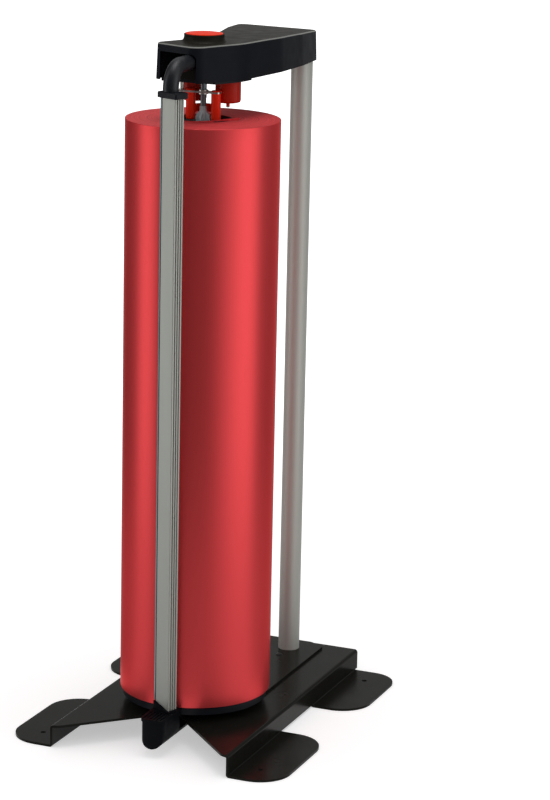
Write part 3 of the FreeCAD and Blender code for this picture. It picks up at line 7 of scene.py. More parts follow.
import bmesh
import bpy
import numpy as np
from mathutils import Matrix, Vector
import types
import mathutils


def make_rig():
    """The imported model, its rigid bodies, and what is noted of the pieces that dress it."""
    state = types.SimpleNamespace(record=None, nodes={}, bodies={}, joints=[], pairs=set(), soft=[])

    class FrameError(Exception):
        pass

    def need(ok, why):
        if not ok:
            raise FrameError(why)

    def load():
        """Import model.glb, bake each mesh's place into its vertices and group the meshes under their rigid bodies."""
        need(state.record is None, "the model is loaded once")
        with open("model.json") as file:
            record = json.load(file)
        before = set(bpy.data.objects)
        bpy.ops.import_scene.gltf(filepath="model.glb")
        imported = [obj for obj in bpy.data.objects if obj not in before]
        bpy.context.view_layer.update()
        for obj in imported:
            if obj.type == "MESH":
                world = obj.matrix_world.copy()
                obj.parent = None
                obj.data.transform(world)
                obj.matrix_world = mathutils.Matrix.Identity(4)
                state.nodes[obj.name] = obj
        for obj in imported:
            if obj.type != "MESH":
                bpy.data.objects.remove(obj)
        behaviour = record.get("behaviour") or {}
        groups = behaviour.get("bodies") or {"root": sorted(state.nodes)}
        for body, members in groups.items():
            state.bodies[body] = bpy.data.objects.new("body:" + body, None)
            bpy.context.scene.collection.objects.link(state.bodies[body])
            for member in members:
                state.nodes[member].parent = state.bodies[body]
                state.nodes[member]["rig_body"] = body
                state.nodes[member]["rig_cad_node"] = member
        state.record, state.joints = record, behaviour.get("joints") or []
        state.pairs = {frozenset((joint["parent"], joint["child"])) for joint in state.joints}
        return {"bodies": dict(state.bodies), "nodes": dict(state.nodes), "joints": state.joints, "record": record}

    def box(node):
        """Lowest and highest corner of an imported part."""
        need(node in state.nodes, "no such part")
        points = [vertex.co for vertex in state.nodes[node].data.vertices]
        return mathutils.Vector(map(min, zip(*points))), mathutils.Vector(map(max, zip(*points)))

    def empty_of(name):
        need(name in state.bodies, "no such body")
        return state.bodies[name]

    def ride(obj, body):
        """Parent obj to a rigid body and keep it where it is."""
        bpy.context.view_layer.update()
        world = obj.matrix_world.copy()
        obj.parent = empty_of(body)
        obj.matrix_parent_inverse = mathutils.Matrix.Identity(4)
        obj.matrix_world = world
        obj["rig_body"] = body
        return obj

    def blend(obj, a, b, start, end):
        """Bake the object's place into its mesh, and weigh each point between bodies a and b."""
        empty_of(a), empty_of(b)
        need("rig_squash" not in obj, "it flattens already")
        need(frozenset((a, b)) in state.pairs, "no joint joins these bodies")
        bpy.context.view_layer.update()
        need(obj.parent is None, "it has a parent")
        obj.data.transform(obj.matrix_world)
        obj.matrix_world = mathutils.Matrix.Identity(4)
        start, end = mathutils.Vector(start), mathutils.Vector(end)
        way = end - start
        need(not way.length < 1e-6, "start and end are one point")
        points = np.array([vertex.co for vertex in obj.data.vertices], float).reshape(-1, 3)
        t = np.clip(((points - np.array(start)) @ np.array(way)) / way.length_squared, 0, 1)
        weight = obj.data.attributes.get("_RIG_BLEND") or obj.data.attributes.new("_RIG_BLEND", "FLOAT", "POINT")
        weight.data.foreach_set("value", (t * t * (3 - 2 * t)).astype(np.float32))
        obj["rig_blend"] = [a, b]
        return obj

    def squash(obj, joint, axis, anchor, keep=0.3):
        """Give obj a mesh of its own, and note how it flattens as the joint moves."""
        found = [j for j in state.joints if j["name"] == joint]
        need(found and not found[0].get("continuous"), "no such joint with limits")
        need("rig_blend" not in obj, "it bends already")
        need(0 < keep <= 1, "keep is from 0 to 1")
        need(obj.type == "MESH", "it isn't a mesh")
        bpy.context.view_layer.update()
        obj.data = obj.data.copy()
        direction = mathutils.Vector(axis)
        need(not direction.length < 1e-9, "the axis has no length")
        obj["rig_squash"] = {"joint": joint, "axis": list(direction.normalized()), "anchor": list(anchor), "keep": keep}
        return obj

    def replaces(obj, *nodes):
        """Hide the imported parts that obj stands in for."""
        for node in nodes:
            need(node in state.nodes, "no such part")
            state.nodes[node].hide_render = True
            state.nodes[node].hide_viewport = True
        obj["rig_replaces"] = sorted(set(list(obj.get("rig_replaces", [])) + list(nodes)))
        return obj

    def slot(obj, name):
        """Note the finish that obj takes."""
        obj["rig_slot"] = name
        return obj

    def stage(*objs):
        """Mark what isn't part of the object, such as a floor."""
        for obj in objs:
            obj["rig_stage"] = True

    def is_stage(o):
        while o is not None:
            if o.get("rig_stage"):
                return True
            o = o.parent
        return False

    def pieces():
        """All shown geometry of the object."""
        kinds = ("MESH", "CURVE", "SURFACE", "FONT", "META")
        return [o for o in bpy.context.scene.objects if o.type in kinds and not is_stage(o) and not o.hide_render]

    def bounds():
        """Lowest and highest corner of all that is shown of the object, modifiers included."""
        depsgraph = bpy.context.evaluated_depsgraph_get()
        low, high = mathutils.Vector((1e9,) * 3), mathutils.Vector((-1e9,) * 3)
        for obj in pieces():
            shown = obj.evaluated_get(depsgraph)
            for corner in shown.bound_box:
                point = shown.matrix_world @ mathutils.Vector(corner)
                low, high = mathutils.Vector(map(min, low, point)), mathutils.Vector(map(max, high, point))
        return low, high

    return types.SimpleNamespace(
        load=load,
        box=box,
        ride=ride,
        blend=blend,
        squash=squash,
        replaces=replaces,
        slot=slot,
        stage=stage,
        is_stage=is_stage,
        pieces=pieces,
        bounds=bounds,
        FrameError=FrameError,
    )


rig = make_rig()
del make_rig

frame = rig.load()
cad_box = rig.bounds()

bl_info = {
    "name": "Gift wrap paper cutter",
    "version": (1, 0, 0),
    "blender": (4, 5, 0),
    "location": "View3D > Sidebar > Wrap cutter",
    "description": "Dresses the paper cutter's frame and sets its stage",
    "category": "Object",
}

# Places on the frame that finishes and pieces are measured from, in metres
ROLL_LOW, ROLL_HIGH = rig.box("paper_roll")
AXIS = ((ROLL_LOW.x + ROLL_HIGH.x) / 2, (ROLL_LOW.y + ROLL_HIGH.y) / 2)
ROLL_RADIUS = ROLL_HIGH.x - AXIS[0]
BORE_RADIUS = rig.box("roll_core")[1].x - AXIS[0]

RING_RISE = 0.0087  # the button's ring above the crest of the head's roof
CREST_BACK = 0.005  # the crest behind the roll's axis
ROOF_RADIUS = 3.9
HEAD_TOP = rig.box("head_shell")[1].z - RING_RISE
HEAD_CREST = AXIS[1] + CREST_BACK
HEAD_FALL = 1 / (2 * ROOF_RADIUS)
RUBBED_AT = 0.0010  # the painted highlight line below the roof
RUBBED_FADE = (0.0004, 0.0009)  # where the line starts to fade and ends, from its middle
ROOF_FADE = (0.0002, 0.0009)  # where the roof's painted sheen starts to fade and ends, below the roof

BLADE_LOW, BLADE_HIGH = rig.box("cutter_blade")
BLADE_EDGE = (BLADE_LOW.x, BLADE_HIGH.y)
BLADE_WIDTH = math.hypot(BLADE_HIGH.x - BLADE_LOW.x, BLADE_HIGH.y - BLADE_LOW.y)
BLADE_ACROSS = (
    (BLADE_HIGH.x - BLADE_LOW.x) / BLADE_WIDTH,
    (BLADE_LOW.y - BLADE_HIGH.y) / BLADE_WIDTH,
)
GROUND_FADE = (0.30, 0.40)  # where the bright edge part ends, as shares of the blade's width

TIP_LENGTH = 0.0015  # pale end of the spring pins
TIP_FADE = 0.0004
PIN_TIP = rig.box("spring_pins")[0].z + TIP_LENGTH

# Clean-up of the frame's meshes
MERGE_WITHIN = 2e-6
FLAT_WITHIN = math.radians(0.4)
SHARP_FROM = math.radians(35)
ROUND_FROM = math.radians(40)
ROUND_STEPS = 2

# Widths of the rounded edges
CRISP_EDGE = 0.0002
MOULDED_EDGE = 0.0003
CAP_EDGE = 0.0004
TURNTABLE_EDGE = 0.0005

# Wound paper: faces round it, rows of its section, and the waves of its surface
TURN = 2 * math.pi
ROLL_STEPS = 384
CORNER_ROWS = 5
FACE_ROWS = 190
BORE_ROWS = 8
SIDE_ROWS = 42
PAPER_EDGE = 0.0006
RIDGE_SHARE = 0.25
DRIFT_SHARE = 0.30
DRIFT_WAVES = (900.0, 311.0)
SWELL = 0.00010
RING_SCALE = 450.0  # noise cells in a metre of the cut layers

# Inner end of the paper: where it starts, leaves the bore and stops, in degrees round the roll
CURL_ANGLES = (-112.0, -50.0, -5.0)
CURL_STEPS = 72
CURL_ROWS = 8
CURL_GAP = 0.0003  # between the layer and the bore
CURL_DEPTH = 0.0030  # the foot below the roll's top while it follows the bore
CURL_CLEAR = 0.0034  # rise of the foot where the layer leaves the bore
CURL_CLEAR_OVER = 0.10  # angle over which it rises, in radians
CURL_FOLLOW = 0.3  # share of the height that the foot rises further
CURL_BEGIN = 0.10  # share of the height at the start
CURL_POWER = 1.5
CURL_LEAN = 0.0012
PAPER_SHEET = 0.00025

# Stage, in metres and degrees
FLOOR_REACH = 14.0
GLOW_NEAR, GLOW_FAR = (0.25, 0.46), (1.5, 0.95)  # distance from the middle, glow
CAMERA_PLACE = (1.3370, -3.0138 + AXIS[1], 1.2289)
CAMERA_YAW, CAMERA_PITCH, CAMERA_ROLL = 22.335, 13.978, 1.22
SENSOR = 36.0
FOCUS = 2825.56 / 800  # focal length over the sensor's longer side
CLIP_END = 40
LIGHTS = (  # name, place, aim, width and height, the power it takes
    ("left_light", (-2.2, -1.0, 0.62), (0, 0, 0.40), (1.1, 2.2), "side_power"),
    ("right_light", (2.2, 0.15, 0.62), (0, 0, 0.40), (1.1, 2.2), "side_power"),
    ("top_light", (0.1, 0.0, 2.6), (0, 0, 0.4), (0.9, 0.9), "top_power"),
)
CARD_RIM = ((0.24, 0.002), (0.45, 0.002), (0.62, 0.004), (0.62, 1.9))  # radius, height
CARD_STEPS = 96
CARD_GREY = 0.07
CARD_HAZE = (0.22, 0.6)  # height over which the cards' foot is veiled, share of the veil
CARD_STOPS = (  # bearing from the camera's, density of the card
    (-180, 0.6), (-150, 0.6), (-140, 1.0), (-98, 1.0), (-90, 0.0), (-68, 0.0), (-60, 1.0),
    (16, 1.0), (54, 0.0), (82, 0.0), (92, 0.92), (128, 0.92), (150, 0.6), (180, 0.6),
)


# ---------------------------------------------------------------- shader maths
class Value:
    """A number or vector that varies over a surface; expressions on values add the maths nodes."""

    def __init__(self, nodes, socket):
        self.nodes = nodes
        self.socket = socket

    def _maths(self, operation, *operands):
        return self.nodes.maths(operation, *operands)

    def __add__(self, other):
        return self._maths("ADD", self, other)

    __radd__ = __add__

    def __sub__(self, other):
        return self._maths("SUBTRACT", self, other)

    def __rsub__(self, other):
        return self._maths("SUBTRACT", other, self)

    def __mul__(self, other):
        return self._maths("MULTIPLY", self, other)

    __rmul__ = __mul__

    def absolute(self):
        return self._maths("ABSOLUTE", self)

    def root(self):
        return self._maths("SQRT", self)

    def at_most(self, limit):
        return self._maths("MINIMUM", self, limit)


def opaque(colour):
    """A colour with full alpha; anything else stays as it is."""
    return (*colour, 1.0) if isinstance(colour, tuple) else colour


def tint(colour, factor):
    """A colour with its three parts times a factor."""
    return tuple(part * factor for part in colour)


class Nodes:
    """A node tree, with one method that adds any node."""

    def __init__(self, tree):
        self.tree = tree

    def node(self, kind, settings, sockets, output=0):
        """Any node: its settings first, then the values or links of its sockets."""
        made = self.tree.nodes.new(kind)
        for key, value in settings.items():
            if key == "stops":
                self.set_stops(made.color_ramp, value)
            else:
                setattr(made, key, value)
        for key, value in sockets.items():
            self.feed(made.inputs[key], value)
        return Value(self, made.outputs[output]) if output is not None else None

    def maths(self, operation, *operands):
        return self.node("ShaderNodeMath", {"operation": operation}, dict(enumerate(operands)))

    @staticmethod
    def set_stops(ramp, stops):
        while len(ramp.elements) < len(stops):
            ramp.elements.new(1.0)
        for element, (position, colour) in zip(ramp.elements, stops):
            element.position = position
            element.color = opaque(colour)

    def feed(self, socket, value):
        if isinstance(value, Value):
            self.tree.links.new(value.socket, socket)
        else:
            socket.default_value = value

    def seen(self):
        """1 for rays from the camera, from gloss and through glass; 0 for the rest."""
        camera, glossy, glass = (
            self.node("ShaderNodeLightPath", {}, {}, kind)
            for kind in ("Is Camera Ray", "Is Glossy Ray", "Is Transmission Ray"))
        return (camera + glossy + glass).at_most(1.0)


class Finish(Nodes):
    """One procedural material: a Principled surface whose varying values are expressions."""

    def __init__(self, name):
        self.material = bpy.data.materials.new(name)
        self.material.use_nodes = True
        super().__init__(self.material.node_tree)
        self.surface = self.tree.nodes["Principled BSDF"]
        self.place = self.node("ShaderNodeTexCoord", {}, {}, "Object")

    def finish_with(self, shader):
        """A surface other than the Principled one."""
        self.feed(self.tree.nodes["Material Output"].inputs["Surface"], shader)

    def set(self, **values):
        """Constant numbers and colours on the surface's own sockets."""
        for key, value in values.items():
            self.feed(self.surface.inputs[key.replace("_", " ")], opaque(value))
        return self

    def drive(self, name, value):
        """A varying value on one of the surface's sockets."""
        self.feed(self.surface.inputs[name], value)

    def stretched(self, x, y, z):
        """Object coordinates scaled along each axis, for grain that runs one way."""
        return self.node("ShaderNodeMapping", {}, {"Vector": self.place, "Scale": (x, y, z)})

    def noise(self, scale, detail=2.0, vector=None):
        return self.node("ShaderNodeTexNoise", {}, {
            "Vector": vector or self.place, "Scale": scale, "Detail": detail,
        }, "Fac")

    def between(self, mask, low, high):
        """Two colours mixed by a mask; 6 and 7 are the node's colour inputs, 2 its output."""
        return self.node("ShaderNodeMix", {"data_type": "RGBA"}, {
            "Factor": mask, 6: opaque(low), 7: opaque(high),
        }, 2)

    def spread(self, value, low, high, to_low=0.0, to_high=1.0):
        """A value's range carried to another range, clamped."""
        return self.node("ShaderNodeMapRange", {"clamp": True}, {
            "Value": value, "From Min": low, "From Max": high,
            "To Min": to_low, "To Max": to_high,
        })

    def uneven(self, noise, low, high):
        """A noise, most of which lies from 0.3 to 0.7, carried to another range."""
        return self.spread(noise, 0.3, 0.7, low, high)

    def axis(self, name):
        """One of the three object coordinates: X, Y or Z."""
        return self.node("ShaderNodeSeparateXYZ", {}, {"Vector": self.place}, name)

    def relief(self, height, depth):
        """Bump from a height value; depth in metres."""
        self.drive("Normal", self.node("ShaderNodeBump", {}, {
            "Height": height, "Distance": depth, "Strength": 1.0,
        }))

    def distance_to(self, x, y):
        """Distance from an upright line: the root of the two squared offsets."""
        dx, dy = self.axis("X") - x, self.axis("Y") - y
        return (dx * dx + dy * dy).root()


# ---------------------------------------------------------------- mesh helpers
def grid_mesh(name, points, close_u=True, close_v=False):
    """Mesh from a (v, u, 3) array of points. Each cell of the grid is a face, and the last column
    or row joins the first where u or v is closed."""
    rows, columns, _ = points.shape
    index = np.arange(rows * columns).reshape(rows, columns)
    next_u = np.roll(index, -1, axis=1)
    u_stop = columns if close_u else columns - 1
    v_stop = rows if close_v else rows - 1
    low = index[:v_stop, :u_stop]
    low_next = next_u[:v_stop, :u_stop]
    high = np.roll(index, -1, axis=0)[:v_stop, :u_stop]
    high_next = np.roll(next_u, -1, axis=0)[:v_stop, :u_stop]
    quads = np.stack([low, low_next, high_next, high], axis=-1).reshape(-1, 4)
    mesh = bpy.data.meshes.new(name)
    mesh.from_pydata(points.reshape(-1, 3).tolist(), [], quads.tolist())
    mesh.polygons.foreach_set("use_smooth", [True] * len(mesh.polygons))
    mesh.update()
    return mesh


def revolve(profile, centre, steps):
    """Points of a profile of (radius, height) rows carried round an upright axis."""
    profile = np.asarray(profile, float)
    angle = np.linspace(0, TURN, steps, endpoint=False)
    x = centre[0] + profile[:, :1] * np.cos(angle)
    y = centre[1] + profile[:, :1] * np.sin(angle)
    z = np.repeat(profile[:, 1:2], steps, axis=1)
    return np.stack([x, y, z], axis=-1)


def mark(mesh, name, values):
    """A number on each point of a mesh, which its finish reads."""
    attribute = mesh.attributes.new(name, "FLOAT", "POINT")
    attribute.data.foreach_set("value", np.asarray(values, np.float32).ravel())


def link(name, data):
    """An object in the scene."""
    thing = bpy.data.objects.new(name, data)
    bpy.context.scene.collection.objects.link(thing)
    return thing


def add_piece(name, mesh, body, finish, slot, *replaced):
    """A mesh in the scene, riding on a body if one is named, with its finish and the CAD nodes
    that it stands for."""
    piece = link(name, mesh)
    piece.data.materials.clear()
    piece.data.materials.append(finish)
    if body:
        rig.ride(piece, body)
    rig.slot(piece, slot)
    if replaced:
        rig.replaces(piece, *replaced)
    return piece


def soften(piece, width):
    """Small rounded edges on a piece."""
    bevel = piece.modifiers.new("edges", "BEVEL")
    bevel.width = width
    bevel.segments = ROUND_STEPS
    bevel.limit_method = "ANGLE"
    bevel.angle_limit = ROUND_FROM
    bevel.use_clamp_overlap = True


def dress(node, finish, slot, edge=0.0, rides=True):
    """Smooth copy of a CAD node: doubles merged, shaded by angle, its edges rounded where a width
    is given."""
    source = frame["nodes"][node]
    mesh = source.data.copy()
    mesh.name = node + "_finished"
    work = bmesh.new()
    work.from_mesh(mesh)
    bmesh.ops.remove_doubles(work, verts=work.verts, dist=MERGE_WITHIN)
    bmesh.ops.dissolve_limit(work, angle_limit=FLAT_WITHIN, verts=work.verts, edges=work.edges)
    work.to_mesh(mesh)
    work.free()
    if mesh.has_custom_normals:
        mesh.attributes.remove(mesh.attributes["custom_normal"])
    mesh.polygons.foreach_set("use_smooth", [True] * len(mesh.polygons))
    mesh.set_sharp_from_angle(angle=SHARP_FROM)
    body = source["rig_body"] if rides else None
    piece = add_piece(node + "_finished", mesh, body, finish, slot, node)
    if edge:
        soften(piece, edge)
    flat = piece.modifiers.new("flat_faces", "WEIGHTED_NORMAL")
    flat.keep_sharp = True
    return piece


# ---------------------------------------------------------------- what a user would change
class WrapCutterColours(bpy.types.PropertyGroup):
    paper: bpy.props.FloatVectorProperty(
        name="Paper", description="Colour of the wrapping paper",
        subtype="COLOR", size=3, default=(0.78, 0.070, 0.076))
    red_moulding: bpy.props.FloatVectorProperty(
        name="Red mouldings", description="Colour of the finger grip and the spring cups",
        subtype="COLOR", size=3, default=(0.96, 0.026, 0.004))
    button: bpy.props.FloatVectorProperty(
        name="Button", description="Colour of the push button",
        subtype="COLOR", size=3, default=(0.95, 0.036, 0.004))
    black_moulding: bpy.props.FloatVectorProperty(
        name="Black mouldings", description="Colour of the head, the elbow and the lower arm",
        subtype="COLOR", size=3, default=(0.0060, 0.0070, 0.0095))
    black_coat: bpy.props.FloatVectorProperty(
        name="Base coat", description="Colour of the powder coat on the base",
        subtype="COLOR", size=3, default=(0.0088, 0.0086, 0.0070))
    aluminium: bpy.props.FloatVectorProperty(
        name="Aluminium", description="Colour of the column and the rail",
        subtype="COLOR", size=3, default=(0.43, 0.44, 0.405))


class WrapCutterSizes(bpy.types.PropertyGroup):
    layer_bundle: bpy.props.FloatProperty(
        name="Layer bundle", description="Width of the rings that show on the roll's end",
        unit="LENGTH", default=0.0032)
    layer_height: bpy.props.FloatProperty(
        name="Layer height", description="How far the rings stand up from each other",
        unit="LENGTH", default=0.0003)
    curl_height: bpy.props.FloatProperty(
        name="Curl height", description="How far the paper's inner end stands up",
        unit="LENGTH", default=0.0044)


class WrapCutterStage(bpy.types.PropertyGroup):
    room_level: bpy.props.FloatProperty(
        name="Room light", description="Even light of the room on the object",
        default=0.6, min=0.0, max=1.0)
    side_power: bpy.props.FloatProperty(
        name="Side lights", description="Power of the two side lights",
        unit="POWER", default=3.6)
    top_power: bpy.props.FloatProperty(
        name="Top light", description="Power of the light overhead",
        unit="POWER", default=11.0)


def colours():
    return bpy.context.scene.wrap_cutter_colours


def sizes():
    return bpy.context.scene.wrap_cutter_sizes


# ---------------------------------------------------------------- finishes
FINISHES = {}


def finish(name):
    """A finish by name, made on first use."""
    if name not in FINISHES:
        FINISHES[name] = globals()["make_" + name]().material
    return FINISHES[name]


def clouded(name, low, high, clouds, gloss, rough, grain, specular=0.5):
    """Surface with clouds of two close colours, uneven gloss and fine grain. Clouds and gloss are
    a noise's scale and detail, rough is a range, and grain is a scale and a depth."""
    f = Finish(name)
    f.drive("Base Color", f.between(f.noise(*clouds), low, high))
    f.drive("Roughness", f.uneven(f.noise(*gloss), *rough))
    scale, depth = grain
    f.relief(f.noise(scale), depth)
    return f.set(Specular_IOR_Level=specular)


def make_black_moulding():
    """Satin black moulding: fine spark-eroded grain, slightly uneven gloss."""
    black = colours().black_moulding
    return clouded(
        "black_moulding", tint(black, 1.0), tint(black, 1.5), clouds=(35, 3), gloss=(60, 3),
        rough=(0.36, 0.46), grain=(2600, 0.00002), specular=0.12)


def make_elbow_moulding():
    """Black moulding of the elbow: smoother and shinier than the head."""
    black = colours().black_moulding
    return clouded(
        "elbow_moulding", tint(black, 1.0), tint(black, 1.8), clouds=(50, 3), gloss=(80, 3),
        rough=(0.36, 0.44), grain=(2200, 0.00002), specular=0.4)


def make_grip_moulding():
    """Matt, deeper black moulding of the ribbed lower arm and of the core's plug."""
    black = tint(colours().black_moulding, 0.6)
    return clouded(
        "grip_moulding", black, tint(black, 1.2), clouds=(90, 4), gloss=(120, 3),
        rough=(0.50, 0.62), grain=(1800, 0.00003), specular=0.05)


def make_head_moulding():
    """Satin black moulding of the head: a lighter warm grey cloudiness on the roof, which is painted
    sheen, and a pale line where the roof turns down, which is a painted highlight. The roof's height
    falls with the square of the distance from its crest, and so does the line."""
    f = Finish("head_moulding")
    black = colours().black_moulding
    from_crest = f.axis("Y") - HEAD_CREST
    below = HEAD_TOP - f.axis("Z") - from_crest * from_crest * HEAD_FALL
    # painted highlight: a pale line along the rounded roof edge, where it catches the light overhead
    rubbed = 1.0 - f.spread((below - RUBBED_AT).absolute(), *RUBBED_FADE)
    roof = 1.0 - f.spread(below, *ROOF_FADE)
    plain = f.between(f.noise(35, 3), tint(black, 1.0), tint(black, 1.6))
    # the pale grey of the painted highlight line
    worn = f.between(f.noise(120, 3), (0.20, 0.20, 0.19), (0.30, 0.30, 0.285))
    # painted sheen: a lighter warm grey on the roof, where it faces the light
    dusty = f.between(f.noise(28, 4), (0.012, 0.011, 0.008), (0.021, 0.019, 0.013))
    f.drive("Base Color", f.between(rubbed, f.between(roof, plain, dusty), worn))
    f.drive("Roughness", f.uneven(f.noise(60, 3), 0.38, 0.48) - rubbed * 0.12)
    f.relief(f.noise(2600), 0.00002)
    return f.set(Specular_IOR_Level=0.05)


def make_base_coat():
    """Powder coat: soft orange peel and a faint cloudiness of the gloss."""
    coat = colours().black_coat
    return clouded(
        "base_coat", tint(coat, 1.0), tint(coat, 1.5), clouds=(14, 3), gloss=(25, 4),
        rough=(0.20, 0.28), grain=(900, 0.00002), specular=0.06,
    ).set(Specular_Tint=(0.92, 0.97, 0.88))


def drawn_metal(name, metallic, lift):
    """Satin anodised metal with drawing lines along its length."""
    f = Finish(name)
    lines = f.noise(1.0, 3, f.stretched(900, 900, 6))
    clouds = f.noise(18)
    colour = tint(colours().aluminium, lift)
    f.drive("Base Color", f.between(lines * 0.6 + clouds * 0.4, tint(colour, 0.88), colour))
    f.drive("Roughness", f.uneven(lines, 0.47, 0.55))
    f.relief(lines, 0.000012)
    return f.set(Metallic=metallic, Specular_IOR_Level=0.3)


def make_aluminium():
    """Bright satin metal of the rail."""
    return drawn_metal("aluminium", 0.7, 1.0)


def make_column_coat():
    """Duller satin metal of the column."""
    return drawn_metal("column_coat", 0.35, 1.3)


def make_plated_steel():
    """Zinc-plated steel with a faint spangle."""
    return clouded(
        "plated_steel", (0.50, 0.49, 0.45), (0.68, 0.67, 0.63), clouds=(420, 2), gloss=(180, 3),
        rough=(0.24, 0.36), grain=(1500, 0.00001)).set(Metallic=1.0)


def make_rod_steel():
    """Grey phosphated steel of the turned rod, with faint rings from turning."""
    f = Finish("rod_steel")
    turning = f.noise(1.0, 3, f.stretched(60, 60, 2600))
    f.drive("Base Color", f.between(turning, (0.10, 0.135, 0.15), (0.20, 0.25, 0.27)))
    f.drive("Roughness", f.uneven(turning, 0.38, 0.48))
    f.relief(turning, 0.00001)
    return f.set(Metallic=0.7)


def make_dark_screws():
    """Black oxide on screws."""
    f = Finish("dark_screws")
    f.drive("Base Color", f.between(f.noise(600), (0.012, 0.012, 0.013), (0.03, 0.03, 0.03)))
    f.drive("Roughness", f.uneven(f.noise(300), 0.35, 0.5))
    return f.set(Metallic=0.6)


def make_blade_steel():
    """Steel strip: near black where it leaves the rail, bright and bluish toward its edge, where the
    brightness is partly the polished bevel and partly a painted highlight."""
    f = Finish("blade_steel")
    from_edge = (
        (f.axis("X") - BLADE_EDGE[0]) * BLADE_ACROSS[0]
        + (f.axis("Y") - BLADE_EDGE[1]) * BLADE_ACROSS[1])
    start, end = (BLADE_WIDTH * share for share in GROUND_FADE)
    ground = f.spread(from_edge, start, end, 1.0, 0.0)
    lines = f.noise(1.0, 2, f.stretched(1500, 1500, 20))
    # near black by the rail
    blued = f.between(lines, (0.004, 0.006, 0.008), (0.012, 0.016, 0.018))
    # painted highlight: the bright bluish edge, partly the polished bevel's own brightness
    bright = f.between(lines, (0.20, 0.30, 0.32), (0.32, 0.44, 0.46))
    f.drive("Base Color", f.between(ground, blued, bright))
    f.drive("Roughness", f.uneven(lines, 0.26, 0.38))
    return f.set(Metallic=0.8)


def red_gloss(name, shade):
    """Glossy red moulding with faint flow marks."""
    red = tint(colours().red_moulding, shade)
    return clouded(
        name, tint(red, 0.86), red, clouds=(45, 3), gloss=(90, 3),
        rough=(0.28, 0.38), grain=(1200, 0.000012), specular=0.15)


def make_red_moulding():
    """Red of the finger grip."""
    return red_gloss("red_moulding", 1.0)


def make_cup_red():
    """Red of the spring cups, darkened as painted shade for the shade under the head."""
    return red_gloss("cup_red", 0.52)


def make_pin_red():
    """Red of the spring pins, pale from wear on the lowest stretch."""
    f = Finish("pin_red")
    worn = f.spread(f.axis("Z") - PIN_TIP, 0.0, TIP_FADE, 1.0, 0.0)
    moulded = colours().red_moulding
    red = f.between(f.noise(200), tint(moulded, 0.86), tint(moulded, 1.0))
    pale = f.between(f.noise(600), (0.42, 0.40, 0.33), (0.60, 0.58, 0.50))
    f.drive("Base Color", f.between(worn, red, pale))
    f.drive("Roughness", f.uneven(f.noise(300), 0.30, 0.40) + worn * 0.1)
    return f.set(Specular_IOR_Level=0.15)


def make_button_red():
    """Polished red of the button, a little scuffed by fingers."""
    red = colours().button
    return clouded(
        "button_red", tint(red, 0.92), tint(red, 1.0), clouds=(60, 3), gloss=(140, 4),
        rough=(0.30, 0.42), grain=(1500, 0.000008), specular=0.05)


def make_grey_moulding():
    """Blue-grey smooth moulding of the rod's tip, its bush and the washer."""
    return clouded(
        "grey_moulding", (0.36, 0.42, 0.44), (0.50, 0.56, 0.58), clouds=(200, 3), gloss=(150, 2),
        rough=(0.34, 0.44), grain=(900, 0.00001))


def make_core_board():
    """Wound grey board."""
    f = Finish("core_board")
    fibres = f.noise(1.0, 4, f.stretched(300, 300, 900))
    f.drive("Base Color", f.between(fibres, (0.20, 0.16, 0.12), (0.36, 0.30, 0.23)))
    f.drive("Roughness", f.uneven(fibres, 0.8, 0.9))
    f.relief(fibres, 0.00005)
    return f


def make_paper():
    """Coated paper with a soft metallic sheen; its ends show the wound layers as fine rings, and
    the bore wall is near black, a painted shade of the hole in the core."""
    f = Finish("wrapping_paper")
    colour = tint(colours().paper, 1.0)
    end, bore = (
        f.node("ShaderNodeAttribute", {"attribute_name": name}, {}, "Fac")
        for name in ("end_face", "bore_wall"))
    outward = f.node("ShaderNodeCombineXYZ", {}, {"X": f.distance_to(*AXIS) * RING_SCALE})
    rings = f.noise(1.0, 3, outward)
    broad = f.noise(1.0, 2, f.stretched(9, 9, 1.2))
    side = f.between(broad, tint(colour, 0.92), colour)
    cut = f.between(f.spread(rings, 0.35, 0.65), tint(colour, 0.66), colour)
    # painted shade: the bore wall near black, as the hole in the core lies in shadow
    lining = f.between(f.noise(300), (0.006, 0.005, 0.005), (0.012, 0.010, 0.010))
    f.drive("Base Color", f.between(bore, f.between(end, side, cut), lining))
    f.drive("Metallic", (1.0 - end) * (1.0 - bore) * 0.63)
    fine = f.noise(500)
    f.drive("Roughness", f.uneven(fine, 0.33, 0.39) + end * 0.25)
    f.relief(rings * end + fine * 0.04, 0.00025)
    return f.set(Specular_IOR_Level=0.15, Specular_Tint=(1.0, 0.25, 0.25))


